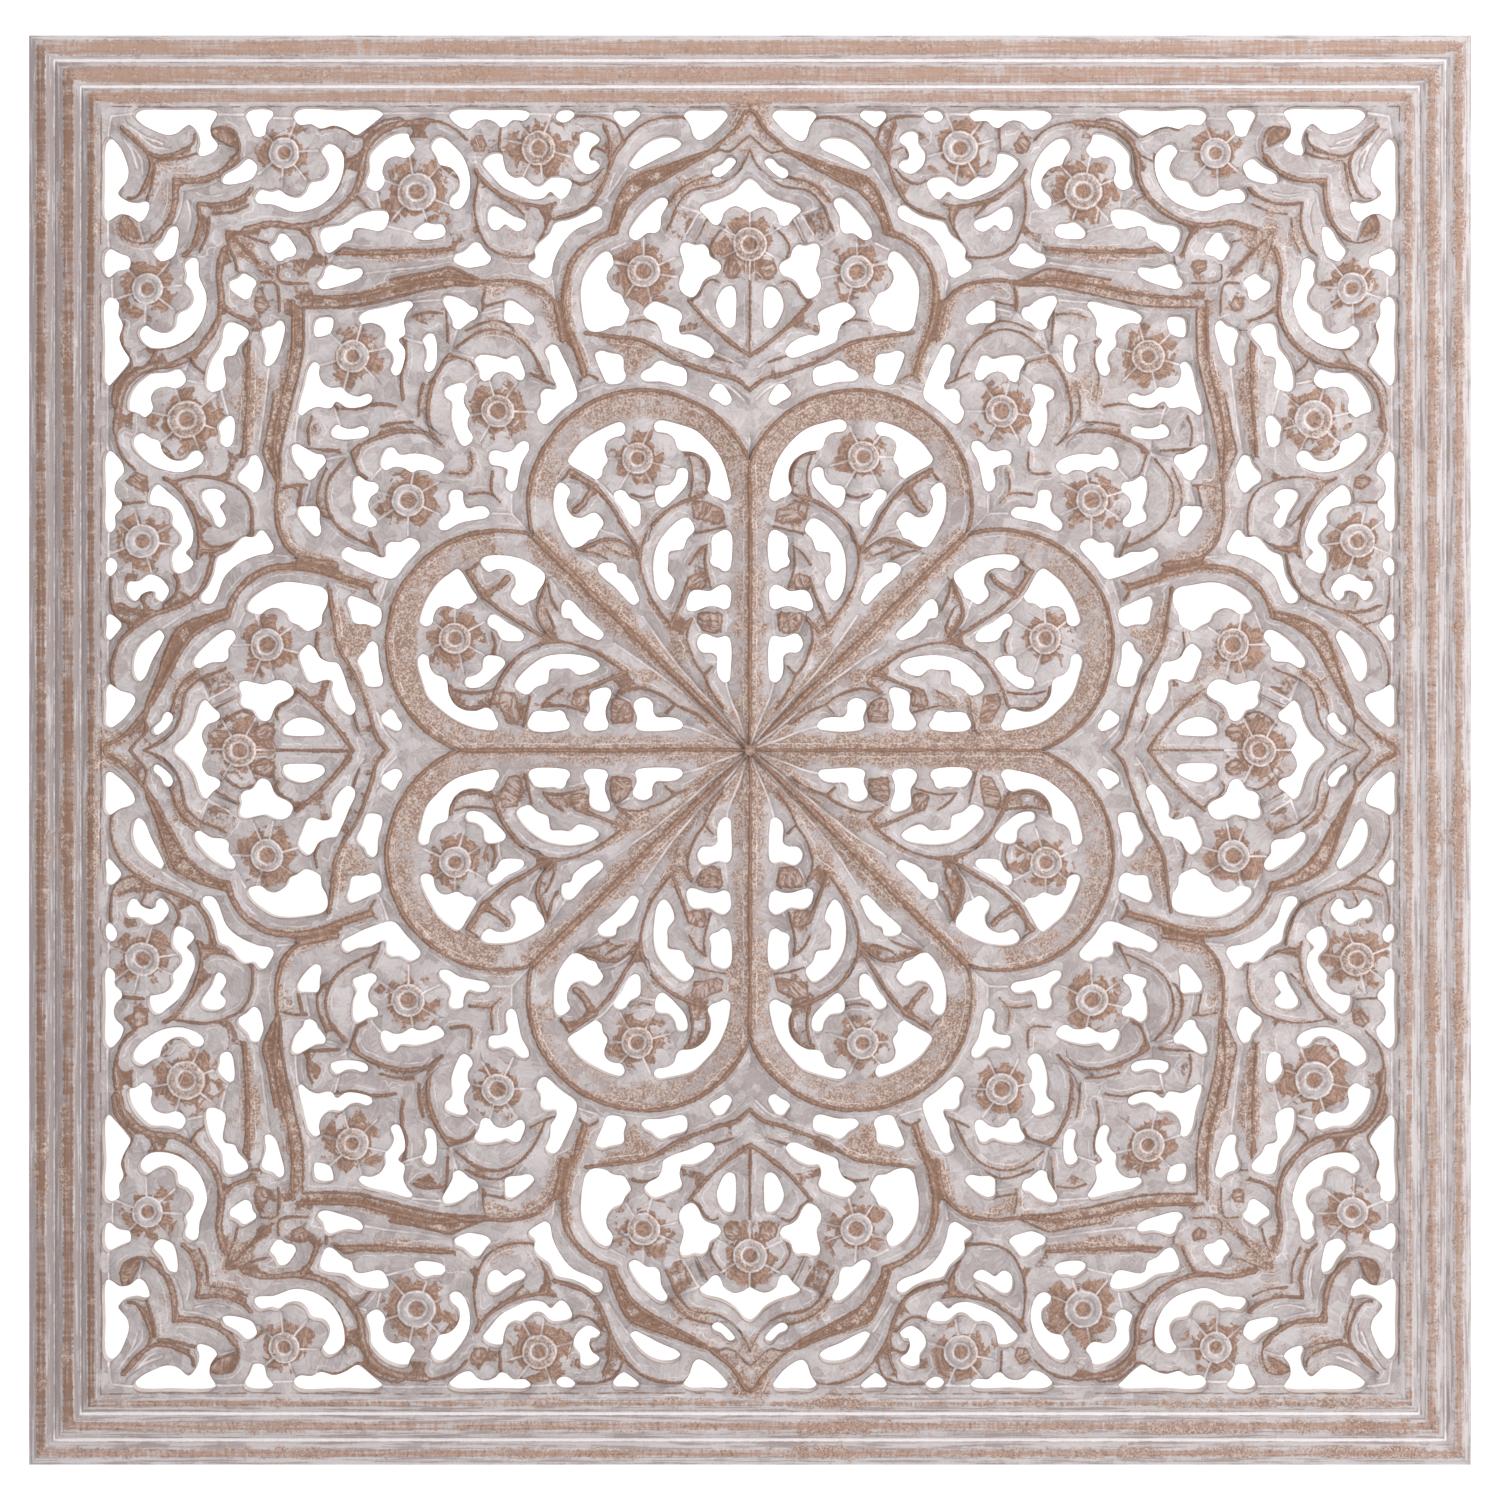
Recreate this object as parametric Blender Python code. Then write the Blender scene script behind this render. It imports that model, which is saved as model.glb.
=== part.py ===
"""Carved fretwork grille: one square board with reeded borders, cut through with some 390 small windows.

Metres, +Z up. The back lies in the plane y = 0, centred on the origin, and the carved front faces -Y.
The pattern repeats in eight mirrored sectors, so everything is laid out once, in the sector between
the upper vertical axis and the upper right diagonal: a is the distance from the axis, b the height
above the centre, both in millimetres.
"""

import math

import bmesh
import bpy
import numpy as np
from mathutils import Vector
from mathutils.geometry import delaunay_2d_cdt

MM_IN_M = 1000.0

# Sizes of the board, in millimetres
WIDTH = 914.0
HEIGHT = 906.0
THICKNESS = 18.0
RIM_HEIGHT = 12.5
CREST_HEIGHT = 17.5
EDGE_HEIGHT = 13.0

# The border: distance in from the outer edge, and height above the back, of each line of the reeds
REED_LINES = (
    (6.0, 17.8),
    (10.7, 18.0),
    (16.1, 13.8),
    (21.5, 17.8),
    (27.2, 18.0),
    (32.9, 13.8),
    (40.5, 17.6),
)

# The petal rings of the central mandala
PETAL_CENTRE = (67.5, 157.0)
PETAL_RIDGE_RADIUS = 73.0
PETAL_RIDGE_STEPS = 9
SPOKE_STEPS = 3

# Flowers: centre, radius of the raised ring and turn in degrees
FLOWERS = (
    (71.5, 187.0, 11.0, 5.0),
    (67.5, 306.0, 11.0, 20.0),
    (133.5, 384.5, 12.0, 0.0),
    (211.0, 357.0, 13.0, 10.0),
    (295.0, 381.5, 10.0, 25.0),
    (159.5, 216.5, 12.0, 0.0),
    (0.0, 323.0, 14.0, 0.0),
    (252.0, 252.0, 11.5, 15.0),
)
FLOWER_SIDES = 5
FLOWER_HEIGHT = 17.6
PIT_HEIGHT = 14.6

# Steps in each span of a window's curve
CURVE_STEPS = 6

# Two corners of a window become one where that moves less than this area, in mm2, and where the new
# corner is no further along its side than this many times the depth of the old ones
MERGED_AREA = 40.0
LONGEST_REACH = 3.0

# How far a ridge keeps from a window, how far off a window still matters, and tests along each span
RIDGE_CLEARANCE = 2.0
WINDOW_REACH = 60.0
SPAN_TESTS = 6

# Lengths under this count as nothing
NOTHING = 1e-6

# Windows inside a petal ring
PETAL_WINDOWS = (
    ((12.2, 47), (12.2, 70), (14.5, 72.8), (20.5, 71.8), (28.5, 74.3), (32, 71.5), (33, 66.5),
     (30, 62.2), (24, 61.8), (20.8, 59.5), (20.8, 52), (19.5, 46), (16, 43), (13, 44.3)),
    ((12.2, 94), (12.2, 102), (16, 105.6), (21, 104), (25, 101.5), (34, 102), (37.5, 100), (40, 92),
     (38.5, 89), (35.5, 88.5), (26, 91.6), (21, 91.5), (16, 89.8), (13, 91.3)),
    ((54, 95.5), (58, 99), (60.5, 108), (61.1, 119), (58.5, 131), (53, 139.5), (44.5, 147.3),
     (40.5, 148.8), (37.5, 147), (35, 140.5), (39.7, 135), (42.5, 128.2), (47, 127.4), (51, 126.5),
     (51.4, 120), (51.8, 114.5), (47.7, 108.5), (50, 99.5)),
    ((12.2, 118), (12.2, 138), (15.5, 140.8), (20, 139.3), (23.5, 137), (24.6, 132.5), (24.1, 125),
     (25.3, 120.5), (23.5, 117.5), (19.5, 116), (16.5, 113.9), (13.5, 115)),
    ((70.2, 96), (74, 92.8), (78, 95.8), (85, 103.5), (95.7, 113.5), (96.3, 117), (93.5, 119.4),
     (88, 119.8), (85, 118.5), (84, 113.6), (79.8, 112.2), (74, 106), (72, 101)),
    ((69.4, 147.5), (70, 157), (72.3, 159.4), (76.3, 161.3), (79.5, 165.8), (83, 166.9), (86.8, 164.5),
     (86, 160.5), (81.5, 154.5), (77, 146), (73, 143), (70.2, 144.3)),
    ((39.2, 175.5), (40, 179.5), (42.7, 181), (46, 180), (47.6, 174.5), (51.5, 170), (58.2, 168.9),
     (60.3, 166), (58.8, 157.5), (55.3, 155.1), (52.5, 156.7), (46, 163), (40.7, 169.5)),
    ((16, 159.5), (12.6, 161.8), (12.8, 168), (15.5, 179.5), (20, 189), (28.5, 199.4), (35, 205),
     (48, 209.5), (58, 211.3), (61.3, 208.5), (60, 204.3), (53, 202.9), (48.5, 199.8), (46.3, 194),
     (44, 192), (36, 190.9), (28.5, 186.2), (25, 179.5), (24.9, 172.5), (26.7, 166.8), (24.5, 163.2),
     (19.5, 161.2)),
    ((91, 197.5), (92.4, 193), (90.5, 185.5), (93.5, 180.5), (94.3, 175.8), (98, 173.3),
     (101.5, 175.5), (108, 179.3), (114, 182.8), (115.9, 186), (113, 190.8), (107, 198), (98, 204),
     (87, 209), (82, 209.9), (79.3, 206.5), (81, 201.8), (87, 200.2)),
    ((93, 145), (95, 149), (98.6, 151.9), (101.8, 151.5), (106.5, 149), (112.5, 150), (116, 155),
     (116, 161), (114.1, 165.5), (117, 169.5), (121, 171.2), (123.8, 168.5), (124.8, 159),
     (123.5, 148.5), (119.5, 139), (113.5, 130.7), (110.5, 130), (106.5, 131.2), (102, 134.6),
     (98, 136), (96, 140)),
)
# Windows inside the shield on a diagonal
SHIELD_WINDOWS = (
    ((151.5, 165.2), (148.7, 167), (147, 174), (144.5, 184.5), (140.3, 192.5), (141, 196.8),
     (144.5, 197.9), (147.8, 196), (151.5, 191.8), (156.5, 190.4), (161.5, 191.7), (165.3, 190.2),
     (166, 186), (164.5, 182.5), (158.5, 181.7), (154.2, 179.3), (155.5, 174), (155, 168)),
    ((109.4, 228), (113.5, 241), (118.5, 251.5), (122.6, 258.8), (126, 259.8), (130, 256),
     (127.4, 249), (126.6, 241), (122.8, 233.6), (123.5, 231.3), (130, 231.3), (133, 228),
     (132.9, 222.3), (135.7, 216.5), (133.4, 210.5), (130, 208.8), (126.5, 210.7), (119.5, 217.6),
     (110.8, 224)),
    ((142.7, 240.5), (145, 248), (147, 252), (150.5, 252.6), (155, 250.2), (160, 252), (172, 252.6),
     (175.2, 249.5), (171.8, 243), (171, 238), (168.5, 235.7), (165, 236.7), (161.8, 240.6),
     (157, 242.2), (151.5, 240.5), (147.8, 237.2), (144.3, 236.9)),
    ((178.9, 231.5), (182, 234.7), (188, 233.8), (193.3, 230.3), (193, 225.8), (188.9, 222.3),
     (189.5, 213), (187.3, 202.5), (183.5, 195), (180.5, 193.9), (176.5, 197), (175.8, 200.5),
     (178.6, 205.5), (178.5, 211.3), (177.2, 214.3), (180.5, 220.3), (181, 225.5)),
    ((136.8, 276), (139.5, 279.8), (145, 284.3), (151.5, 287.9), (155.5, 286.8), (156, 281),
     (155.8, 275.5), (153, 273.3), (146, 273), (140.5, 272), (137.5, 273.4)),
    ((172.4, 279.5), (174.3, 283.2), (177.8, 284.2), (183, 288.6), (190, 291.1), (194.3, 290.9),
     (195.5, 287.5), (191.5, 280), (189.2, 275.3), (188.7, 271), (185, 268.9), (181.5, 270.6),
     (178, 273.8), (174.3, 275.6)),
    ((198.5, 255), (199.2, 262), (201.3, 266.1), (205, 266.4), (208.5, 262.5), (206, 257),
     (205.8, 251.5), (207.3, 246.3), (205.5, 242.5), (202.5, 242), (200, 244.5)),
    ((214, 284.5), (216, 287.3), (220, 287.2), (231, 284), (245.5, 280.6), (249, 277), (246.5, 273),
     (241, 273.4), (235, 271.2), (232, 266.5), (232.4, 259.8), (228, 254.5), (226.8, 249.5),
     (228.6, 243.5), (226, 239.8), (222.8, 240.2), (219.5, 247.5), (219.2, 256), (223.2, 262.3),
     (219.3, 265.4), (219, 268.5), (219.9, 274), (217.5, 279.8)),
)
# Windows inside the pointed dome on an axis
DOME_WINDOWS = (
    ((9.2, 274), (9.2, 293), (11, 296.7), (15, 296.7), (19, 292.8), (21.4, 285), (19.8, 278.5),
     (15.8, 271.5), (13, 270), (10.2, 271.3)),
    ((22.5, 255), (25, 259.4), (31, 263.8), (38, 266.2), (43.8, 266.2), (45.1, 270.5), (43.1, 277.5),
     (44.6, 281), (52, 284.5), (61, 287.2), (65.5, 284), (67.6, 280.5), (65, 276.4), (59, 273),
     (56.3, 268), (55.3, 262.2), (50, 259), (37, 254.3), (29.5, 251), (25, 251.3)),
    ((40.3, 241.5), (42, 244.6), (50, 247), (56.5, 249.8), (60, 248.4), (63, 245.2), (67.5, 243),
     (69.4, 239.5), (66.8, 236.3), (56, 235.6), (44.5, 233), (41.3, 234.5)),
    ((11.8, 224.5), (13.5, 229), (17.5, 234.2), (21.5, 234.6), (24, 231.5), (26.2, 228.2),
     (24.3, 225.2), (20.5, 223.3), (16, 220.3), (12.8, 221.7)),
    ((78.6, 239), (80.1, 244), (80.3, 250.5), (82.3, 253.1), (89, 254.4), (94, 256), (98.1, 254),
     (97.5, 250), (93, 239.5), (90.8, 234.8), (87.5, 233.6), (81, 235)),
    ((76, 281.5), (79.5, 286.8), (82, 292), (87.5, 294.8), (91, 301), (90, 306), (87, 310.5),
     (88.4, 317.5), (91, 319.4), (95, 317.8), (101, 311.5), (106, 302.5), (107.4, 294), (106, 280),
     (104, 271.5), (100, 268.1), (93, 268.2), (86.5, 271.4), (80.5, 272.2), (77.8, 276)),
    ((30, 299.3), (33, 293), (36.5, 289.6), (42, 291.6), (44.8, 296), (44.6, 302), (42, 308),
     (43.3, 314.3), (44.6, 320.5), (43, 324.5), (40, 325), (35, 323.3), (30.5, 324), (27, 321),
     (25.5, 316), (20, 312.5), (18.3, 309), (20, 305), (27, 302)),
    ((9.1, 377), (11, 379.5), (14, 379.6), (18.5, 375), (23.2, 372.8), (24.4, 369.5), (22.3, 366.5),
     (18.8, 366.4), (13, 370.8)),
    ((52.4, 350), (54, 353.5), (58, 353.7), (66.5, 347), (72, 340.8), (76.8, 332.5), (76.5, 328),
     (73, 326.1), (69.8, 327.5), (65.5, 330.7), (60, 330.8), (57.3, 333.5), (56.3, 342)),
)
# Windows of the scrolls between dome, shield and frame
SPANDREL_WINDOWS = (
    ((14.2, 406), (16, 409.6), (28, 409.9), (39, 409.8), (42.2, 406.8), (38.2, 400), (36, 393),
     (33.5, 390.4), (30, 390.7), (22.5, 395.7), (16.5, 402.3)),
    ((43.9, 388), (46.5, 391.3), (54, 392.7), (62, 390.7), (68, 386.7), (75, 378.2), (76.7, 374.5),
     (73, 371.7), (69.5, 373), (56, 380), (46, 384.6)),
    ((69.8, 406.5), (72, 409.7), (79, 409.5), (85.5, 409.2), (86.8, 406), (82.5, 400), (79.5, 398.5),
     (76, 400.5)),
    ((95, 390.5), (97.5, 394), (103.5, 396.3), (107.3, 394.5), (107.8, 388.5), (111.5, 383),
     (112, 380), (110.2, 374), (106.5, 370.2), (102.5, 368.2), (97, 370.5), (94.8, 373.5), (98, 377.9),
     (101, 378), (101.6, 380.5), (99.5, 385.5), (96, 388)),
    ((110.8, 406), (113, 409.3), (120.5, 409.5), (123.3, 406.3), (121.5, 402.4), (117.5, 401),
     (113, 403)),
    ((139.3, 406.5), (142, 409.5), (165, 409.9), (189, 409.5), (191.8, 406.5), (187, 400.3),
     (182.5, 397.7), (178, 397.2), (172.5, 401.9), (167, 403.1), (161.8, 401.3), (158.5, 398.2),
     (155, 398.6), (150.5, 402.5), (142.5, 402.5)),
    ((112.5, 362.5), (115, 365.7), (125.5, 366.8), (132.5, 361.6), (137, 361.7), (144.5, 367.3),
     (149.5, 366.9), (154.5, 370), (156.5, 376), (157.5, 381.3), (161.5, 382.2), (167.5, 380),
     (170, 376), (165, 369), (157, 360.7), (147, 355.5), (138, 352.4), (130.5, 353.5), (126, 357.2),
     (122.5, 354), (119.5, 352.3), (116, 354.3)),
    ((141.8, 336.5), (144, 339.7), (151, 342.4), (160.5, 348.3), (164, 348.5), (166.4, 345.5),
     (166.5, 338), (163.5, 333.2), (160, 332.5), (157.3, 334.6), (155.5, 336.3), (151, 333.5),
     (147.5, 332), (143.5, 333.5)),
    ((93.6, 345), (95.2, 348), (98.5, 348.6), (104.5, 344.3), (113, 340.4), (123.5, 337.8), (127, 331),
     (134.5, 324.4), (136.8, 320.5), (136.3, 315.3), (140.3, 312), (140.5, 308.8), (133, 303.2),
     (129.5, 301.9), (126.4, 303.8), (124.5, 312.5), (119.5, 323.5), (111, 332.5), (97, 338.4),
     (94, 341)),
    ((164.3, 314.5), (168.7, 320), (171.8, 324.6), (175.5, 325.3), (182.5, 319.5), (187.3, 317.5),
     (187.8, 312.8), (179, 308.3), (175, 308.8), (166.3, 311.3)),
    ((177.6, 363), (179.5, 373), (185, 383), (195, 391.8), (200, 391.6), (203.1, 386), (199.5, 379.8),
     (197.5, 375), (190, 372.3), (185, 366), (185.6, 359.5), (190.3, 354.8), (191, 350),
     (187.5, 346.4), (183.5, 347.3), (179.5, 353.5)),
    ((193, 332), (196, 336.8), (201.5, 337.2), (206, 338.3), (209.5, 336.5), (213.6, 331.5),
     (211.5, 327.7), (203.5, 326.8), (194.5, 329)),
    ((212.9, 384), (216, 389.3), (217.5, 394.2), (222, 394.9), (230, 392.3), (237.5, 386.3),
     (241.2, 381), (241.5, 371.5), (243.5, 362.5), (237, 357.8), (233, 360), (231.3, 364.5),
     (232.7, 370), (230.5, 377), (225, 379.8), (218, 378.8)),
    ((228.8, 342.5), (231.5, 345.7), (242, 345.5), (250.5, 342.5), (258.5, 337), (271, 334.5),
     (273.4, 331), (270.3, 320.8), (267.3, 318.2), (263.5, 319.4), (258, 324.5), (252.8, 326.9),
     (251, 333), (248, 334.5), (234.5, 332.7), (231, 334.8)),
    ((233.3, 406.5), (236.5, 409.7), (262, 409.9), (287, 410.1), (290.2, 406.5), (286, 400.2),
     (278, 400.2), (272.5, 397.5), (264, 399.4), (257, 397.2), (249.5, 393.2), (245.5, 395.3),
     (236, 403.5)),
    ((257, 374), (258, 381), (264, 387.4), (268.5, 388), (272, 383.8), (268.5, 378), (267.3, 371),
     (271, 365.6), (279, 363.6), (282.5, 357.5), (287.5, 354.2), (294, 355.2), (299.5, 359),
     (304.5, 358), (311.5, 359.3), (315.2, 354.5), (312.5, 350.2), (302, 349), (289.5, 344.4),
     (279, 346), (270, 350), (262.5, 357.5), (258, 367)),
    ((302.4, 406.5), (305.5, 409.9), (318.5, 409.9), (321.2, 407), (318, 400.5), (315.3, 393.8),
     (312.5, 392.5), (308.3, 393.6), (306.3, 400.5)),
    ((312.7, 373.5), (316, 377.5), (319.8, 379), (326, 373.8), (334.5, 368.8), (335.5, 364.3),
     (332.5, 362.4), (325, 362.6), (316, 365.5), (313.8, 369)),
    ((338.4, 407), (341.5, 410), (366, 410.4), (388.5, 409.8), (391.4, 406.5), (386, 400.5),
     (378, 396.2), (370, 393.7), (363.5, 395), (358.5, 399.2), (355.8, 400.6), (352, 396.7),
     (350.3, 389.5), (351.5, 384.5), (350, 381), (347, 380.5), (340, 383.6), (338, 387.3), (342, 393),
     (342.7, 399)),
    ((245.7, 305.5), (247.3, 308.7), (250.5, 309.2), (256.5, 308.2), (262.5, 309.8), (267.5, 311),
     (270.3, 309), (272, 303.8), (275.3, 300), (273.5, 296.3), (270, 295), (260, 297.2),
     (248.5, 301.5)),
    ((287.7, 319.5), (290.5, 325), (295.5, 330.5), (299.5, 330.8), (301.8, 326), (305.3, 322),
     (303.5, 318), (300, 313.4), (297, 313.2), (294.5, 315.2), (289.5, 316.5)),
)
# Half of the window that lies across an axis, from its top to its bottom
AXIS_WINDOWS = (
    ((0, 365.9), (3.5, 364.2), (9, 358), (18, 353), (30, 349), (32.2, 345.5), (27, 340), (24, 336.2),
     (21, 335.6), (18.5, 338), (16.5, 343.5), (10, 347.3), (4.5, 346), (0, 343.8)),
)
# Half of the window that lies across a diagonal
DIAGONAL_WINDOWS = (
    ((276.2, 276.2), (269.5, 277.6), (265.2, 276.3), (264.5, 273), (266.8, 266.8)),
)

# Crests of the ogee bands, the shield bands, the stems and the leaves, as open lines
RIDGES = (
    # the pointed dome: from its tip on the border, over the shoulder and down to the petal ring
    ((3, 407), (14, 392.5), (30, 378.5), (50, 367), (69, 357), (82, 340), (85.5, 330)),
    ((85.5, 330), (104, 322), (113, 311), (117, 292), (113, 270), (104, 240)),
    # mouldings inside the dome
    ((0, 384), (9, 368), (20, 361), (37, 357), (47, 346)),
    ((0, 252), (0, 300)),
    ((0, 252), (19, 269), (38.5, 286.5)),
    ((0, 230), (20, 241), (48, 250.5), (66, 261), (103, 262)),
    # the shield: its two parallel crests
    ((123, 286), (138, 297.5), (195, 301), (240, 294), (287, 289)),
    ((165, 295), (205, 295.5), (235, 290), (284, 283.5)),
    # leaves inside the shield
    ((130, 238), (146, 263), (164, 268.7), (185, 258)),
    ((190, 252.5), (203, 225), (203, 208), (195, 195)),
    # the scrolls of the spandrel
    ((40, 403), (62, 402), (79, 387), (90, 363), (98, 350.5), (124, 340.5)),
    ((122.5, 349), (142, 348.5), (173, 369)),
    ((127, 345), (142, 317.5), (160, 318), (174.5, 340), (172, 363)),
    ((204, 401), (225, 401), (244, 389), (249, 364), (268, 340), (285, 335.5), (305, 336.5)),
    ((190, 322), (235, 317.5), (260, 315.5)),
    # the corner leaves
    ((340, 397.5), (326, 395.5), (323.5, 386), (340, 367.5), (365, 365)),
    ((352.5, 393), (357, 384.5), (375, 379), (400, 400)),
    ((316, 359), (330, 350), (348, 348.5)),
    ((295, 295), (334, 334)),
    # stems and leaves inside a petal ring
    ((30, 163), (51, 153.5), (69, 128), (67, 110), (59, 92), (46, 72)),
    ((69, 128), (97, 167), (116, 178.5)),
    ((73, 127), (83, 133), (106, 129)),
    ((98, 167), (109, 153)),
    ((17, 27), (33, 54), (39.5, 70), (36, 83)),
    ((30, 163), (29, 176), (41, 188)),
)


def closed_curve(points, steps=CURVE_STEPS):
    """Smooth closed curve through the points, each span in the given number of steps."""
    points = np.array(points, float)
    count = len(points)
    curve = []
    for i in range(count):
        before, start, end, after = (points[(i + k) % count] for k in (-1, 0, 1, 2))
        first, span, last = (math.sqrt(math.dist(*pair)) for pair in
                             ((before, start), (start, end), (end, after)))
        lean_out = span * ((start - before) / first - (end - before) / (first + span)
                           + (end - start) / span)
        lean_in = span * ((end - start) / span - (after - start) / (span + last)
                          + (after - end) / last)
        for k in range(steps):
            t = k / steps
            curve.append((2 * t ** 3 - 3 * t ** 2 + 1) * start + (t ** 3 - 2 * t ** 2 + t) * lean_out
                         + (3 * t ** 2 - 2 * t ** 3) * end + (t ** 3 - t ** 2) * lean_in)
    return np.array(curve)


def twice_area(*points):
    """Twice the signed area inside a closed outline."""
    return sum(p[0] * q[1] - q[0] * p[1] for p, q in zip(points, points[1:] + points[:1]))


def merged_corner(a, b, c, d):
    """The corner that can take the place of b and c with the same area, and the area it moves."""
    length = math.dist(a, d)
    if length < NOTHING:
        return math.inf, None
    normal = ((a[1] - d[1]) / length, (d[0] - a[0]) / length)
    height = -twice_area(a, b, c, d) / length
    best = (math.inf, None)
    for corner, towards in ((a, b), (d, c)):
        rise = (towards[0] - corner[0]) * normal[0] + (towards[1] - corner[1]) * normal[1]
        if abs(rise) < NOTHING or not 0 < height / rise < LONGEST_REACH:
            continue
        share = height / rise
        point = (corner[0] + (towards[0] - corner[0]) * share,
                 corner[1] + (towards[1] - corner[1]) * share)
        best = min(best, (abs(twice_area(b, c, point)) / 2, point))
    return best


def straight_sided(outline, is_open=False):
    """Polygon with the area of the outline: two corners are merged while that moves little area.

    An open outline keeps its first and last points.
    """
    points = [tuple(map(float, p)) for p in outline]
    merges = None
    while len(points) > (3 if is_open else 4):
        count = len(points)
        if merges is None:
            merges = [merged_corner(*(points[(i + k) % count] for k in range(4)))
                      for i in range(count)]
        usable = count - 3 if is_open else count
        cheapest = min(range(usable), key=lambda i: merges[i][0])
        moved, corner = merges[cheapest]
        if moved > MERGED_AREA:
            break
        points[(cheapest + 1) % count] = corner
        gone = (cheapest + 2) % count
        del points[gone]
        del merges[gone]
        count -= 1
        first = cheapest - (gone < cheapest)
        for i in range(first - 2, first + 3):
            merges[i % count] = merged_corner(*(points[(i + k) % count] for k in range(4)))
    return np.array(points)


def sectors(points):
    """The points in all eight sectors, each the mirror image of its neighbour."""
    for turned in (points, points[:, ::-1]):
        for sign in ((1, 1), (-1, 1), (1, -1), (-1, -1)):
            yield turned * sign


def distinct(outlines):
    """The outlines without those that lie on one already taken."""
    kept = {}
    for outline in outlines:
        middle = outline.mean(0)
        kept.setdefault((round(middle[0], 1) + 0.0, round(middle[1], 1) + 0.0), outline)
    return list(kept.values())


def all_windows():
    """Polygons of all windows of the board."""
    windows = []
    for table in (PETAL_WINDOWS, SHIELD_WINDOWS, DOME_WINDOWS, SPANDREL_WINDOWS):
        for outline in table:
            windows += sectors(straight_sided(closed_curve(outline)))
    for half in AXIS_WINDOWS:
        half = np.array(half, float)
        whole = np.vstack([half, half[-2:0:-1] * (-1, 1)])
        windows += distinct(sectors(mirrored_polygon(whole, lambda p: p * (-1, 1))))
    for half in DIAGONAL_WINDOWS:
        half = np.array(half, float)
        whole = np.vstack([half, half[-2:0:-1, ::-1]])
        windows += distinct(sectors(mirrored_polygon(whole, lambda p: p[:, ::-1])))
    return windows


def mirrored_polygon(outline, mirror):
    """Polygon of a window that is its own mirror image: one half is worked out and mirrored."""
    curve = closed_curve(outline)
    half = straight_sided(curve[:len(curve) // 2 + 1], is_open=True)
    return np.vstack([half, mirror(half)[-2:0:-1]])


def clear_stretches(line, windows):
    """The stretches of a line whose points and spans keep clear of every window."""
    starts = np.vstack(windows)
    ends = np.vstack([np.roll(window, -1, axis=0) for window in windows])

    def is_clear(point):
        """Whether the point is outside every window, and not close to one."""
        near = np.abs(starts - point).max(1) < WINDOW_REACH
        start, end = starts[near], ends[near]
        if not len(start):
            return True
        span = end - start
        share = np.clip(((point - start) * span).sum(1) / (span * span).sum(1), 0, 1)
        if np.hypot(*(point - start - share[:, None] * span).T).min() < RIDGE_CLEARANCE:
            return False
        crossing = (start[:, 1] > point[1]) != (end[:, 1] > point[1])
        start, span = start[crossing], span[crossing]
        across = start[:, 0] + (point[1] - start[:, 1]) / span[:, 1] * span[:, 0]
        return (across > point[0]).sum() % 2 == 0

    stretches = [[]]
    for i, point in enumerate(line):
        joined = stretches[-1] and all(is_clear(line[i - 1] + (point - line[i - 1]) * k / SPAN_TESTS)
                                       for k in range(1, SPAN_TESTS))
        if not is_clear(point):
            stretches.append([])
        elif joined or not stretches[-1]:
            stretches[-1].append(point)
        else:
            stretches.append([point])
    return [np.array(stretch) for stretch in stretches if len(stretch) > 1]


def ring_ridge():
    """Crest of a petal ring, from where it meets its neighbour on the axis to the diagonal."""
    a, b = PETAL_CENTRE
    start = math.atan2(math.sqrt(PETAL_RIDGE_RADIUS ** 2 - a ** 2), -a)
    off = (b - a) / math.sqrt(2)
    end = math.pi / 4 - math.asin(off / PETAL_RIDGE_RADIUS)
    angles = np.linspace(start, end, PETAL_RIDGE_STEPS + 1)
    return np.stack([a + PETAL_RIDGE_RADIUS * np.cos(angles),
                     b + PETAL_RIDGE_RADIUS * np.sin(angles)], 1)


def relief_lines(windows):
    """Every crest of the sector: ring, spokes, bands, stems and leaves."""
    ring = ring_ridge()
    spokes = [np.linspace((0, 0), tip, SPOKE_STEPS + 1) for tip in (ring[0], ring[-1])]
    lines = [ring] + spokes + [np.array(ridge, float) for ridge in RIDGES]
    return [part for line in lines for part in clear_stretches(line, windows)]


def flower_points(flower):
    """Corners of the raised ring of a flower."""
    a, b, radius, turn = flower
    angles = np.radians(turn) + np.arange(FLOWER_SIDES) * 2 * math.pi / FLOWER_SIDES
    return np.stack([a + radius * np.cos(angles), b + radius * np.sin(angles)], 1)


def place_of(x, z):
    """The place of a point, rounded so that a point that comes twice is known again."""
    return round(float(x), 2) + 0.0, round(float(z), 2) + 0.0


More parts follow.
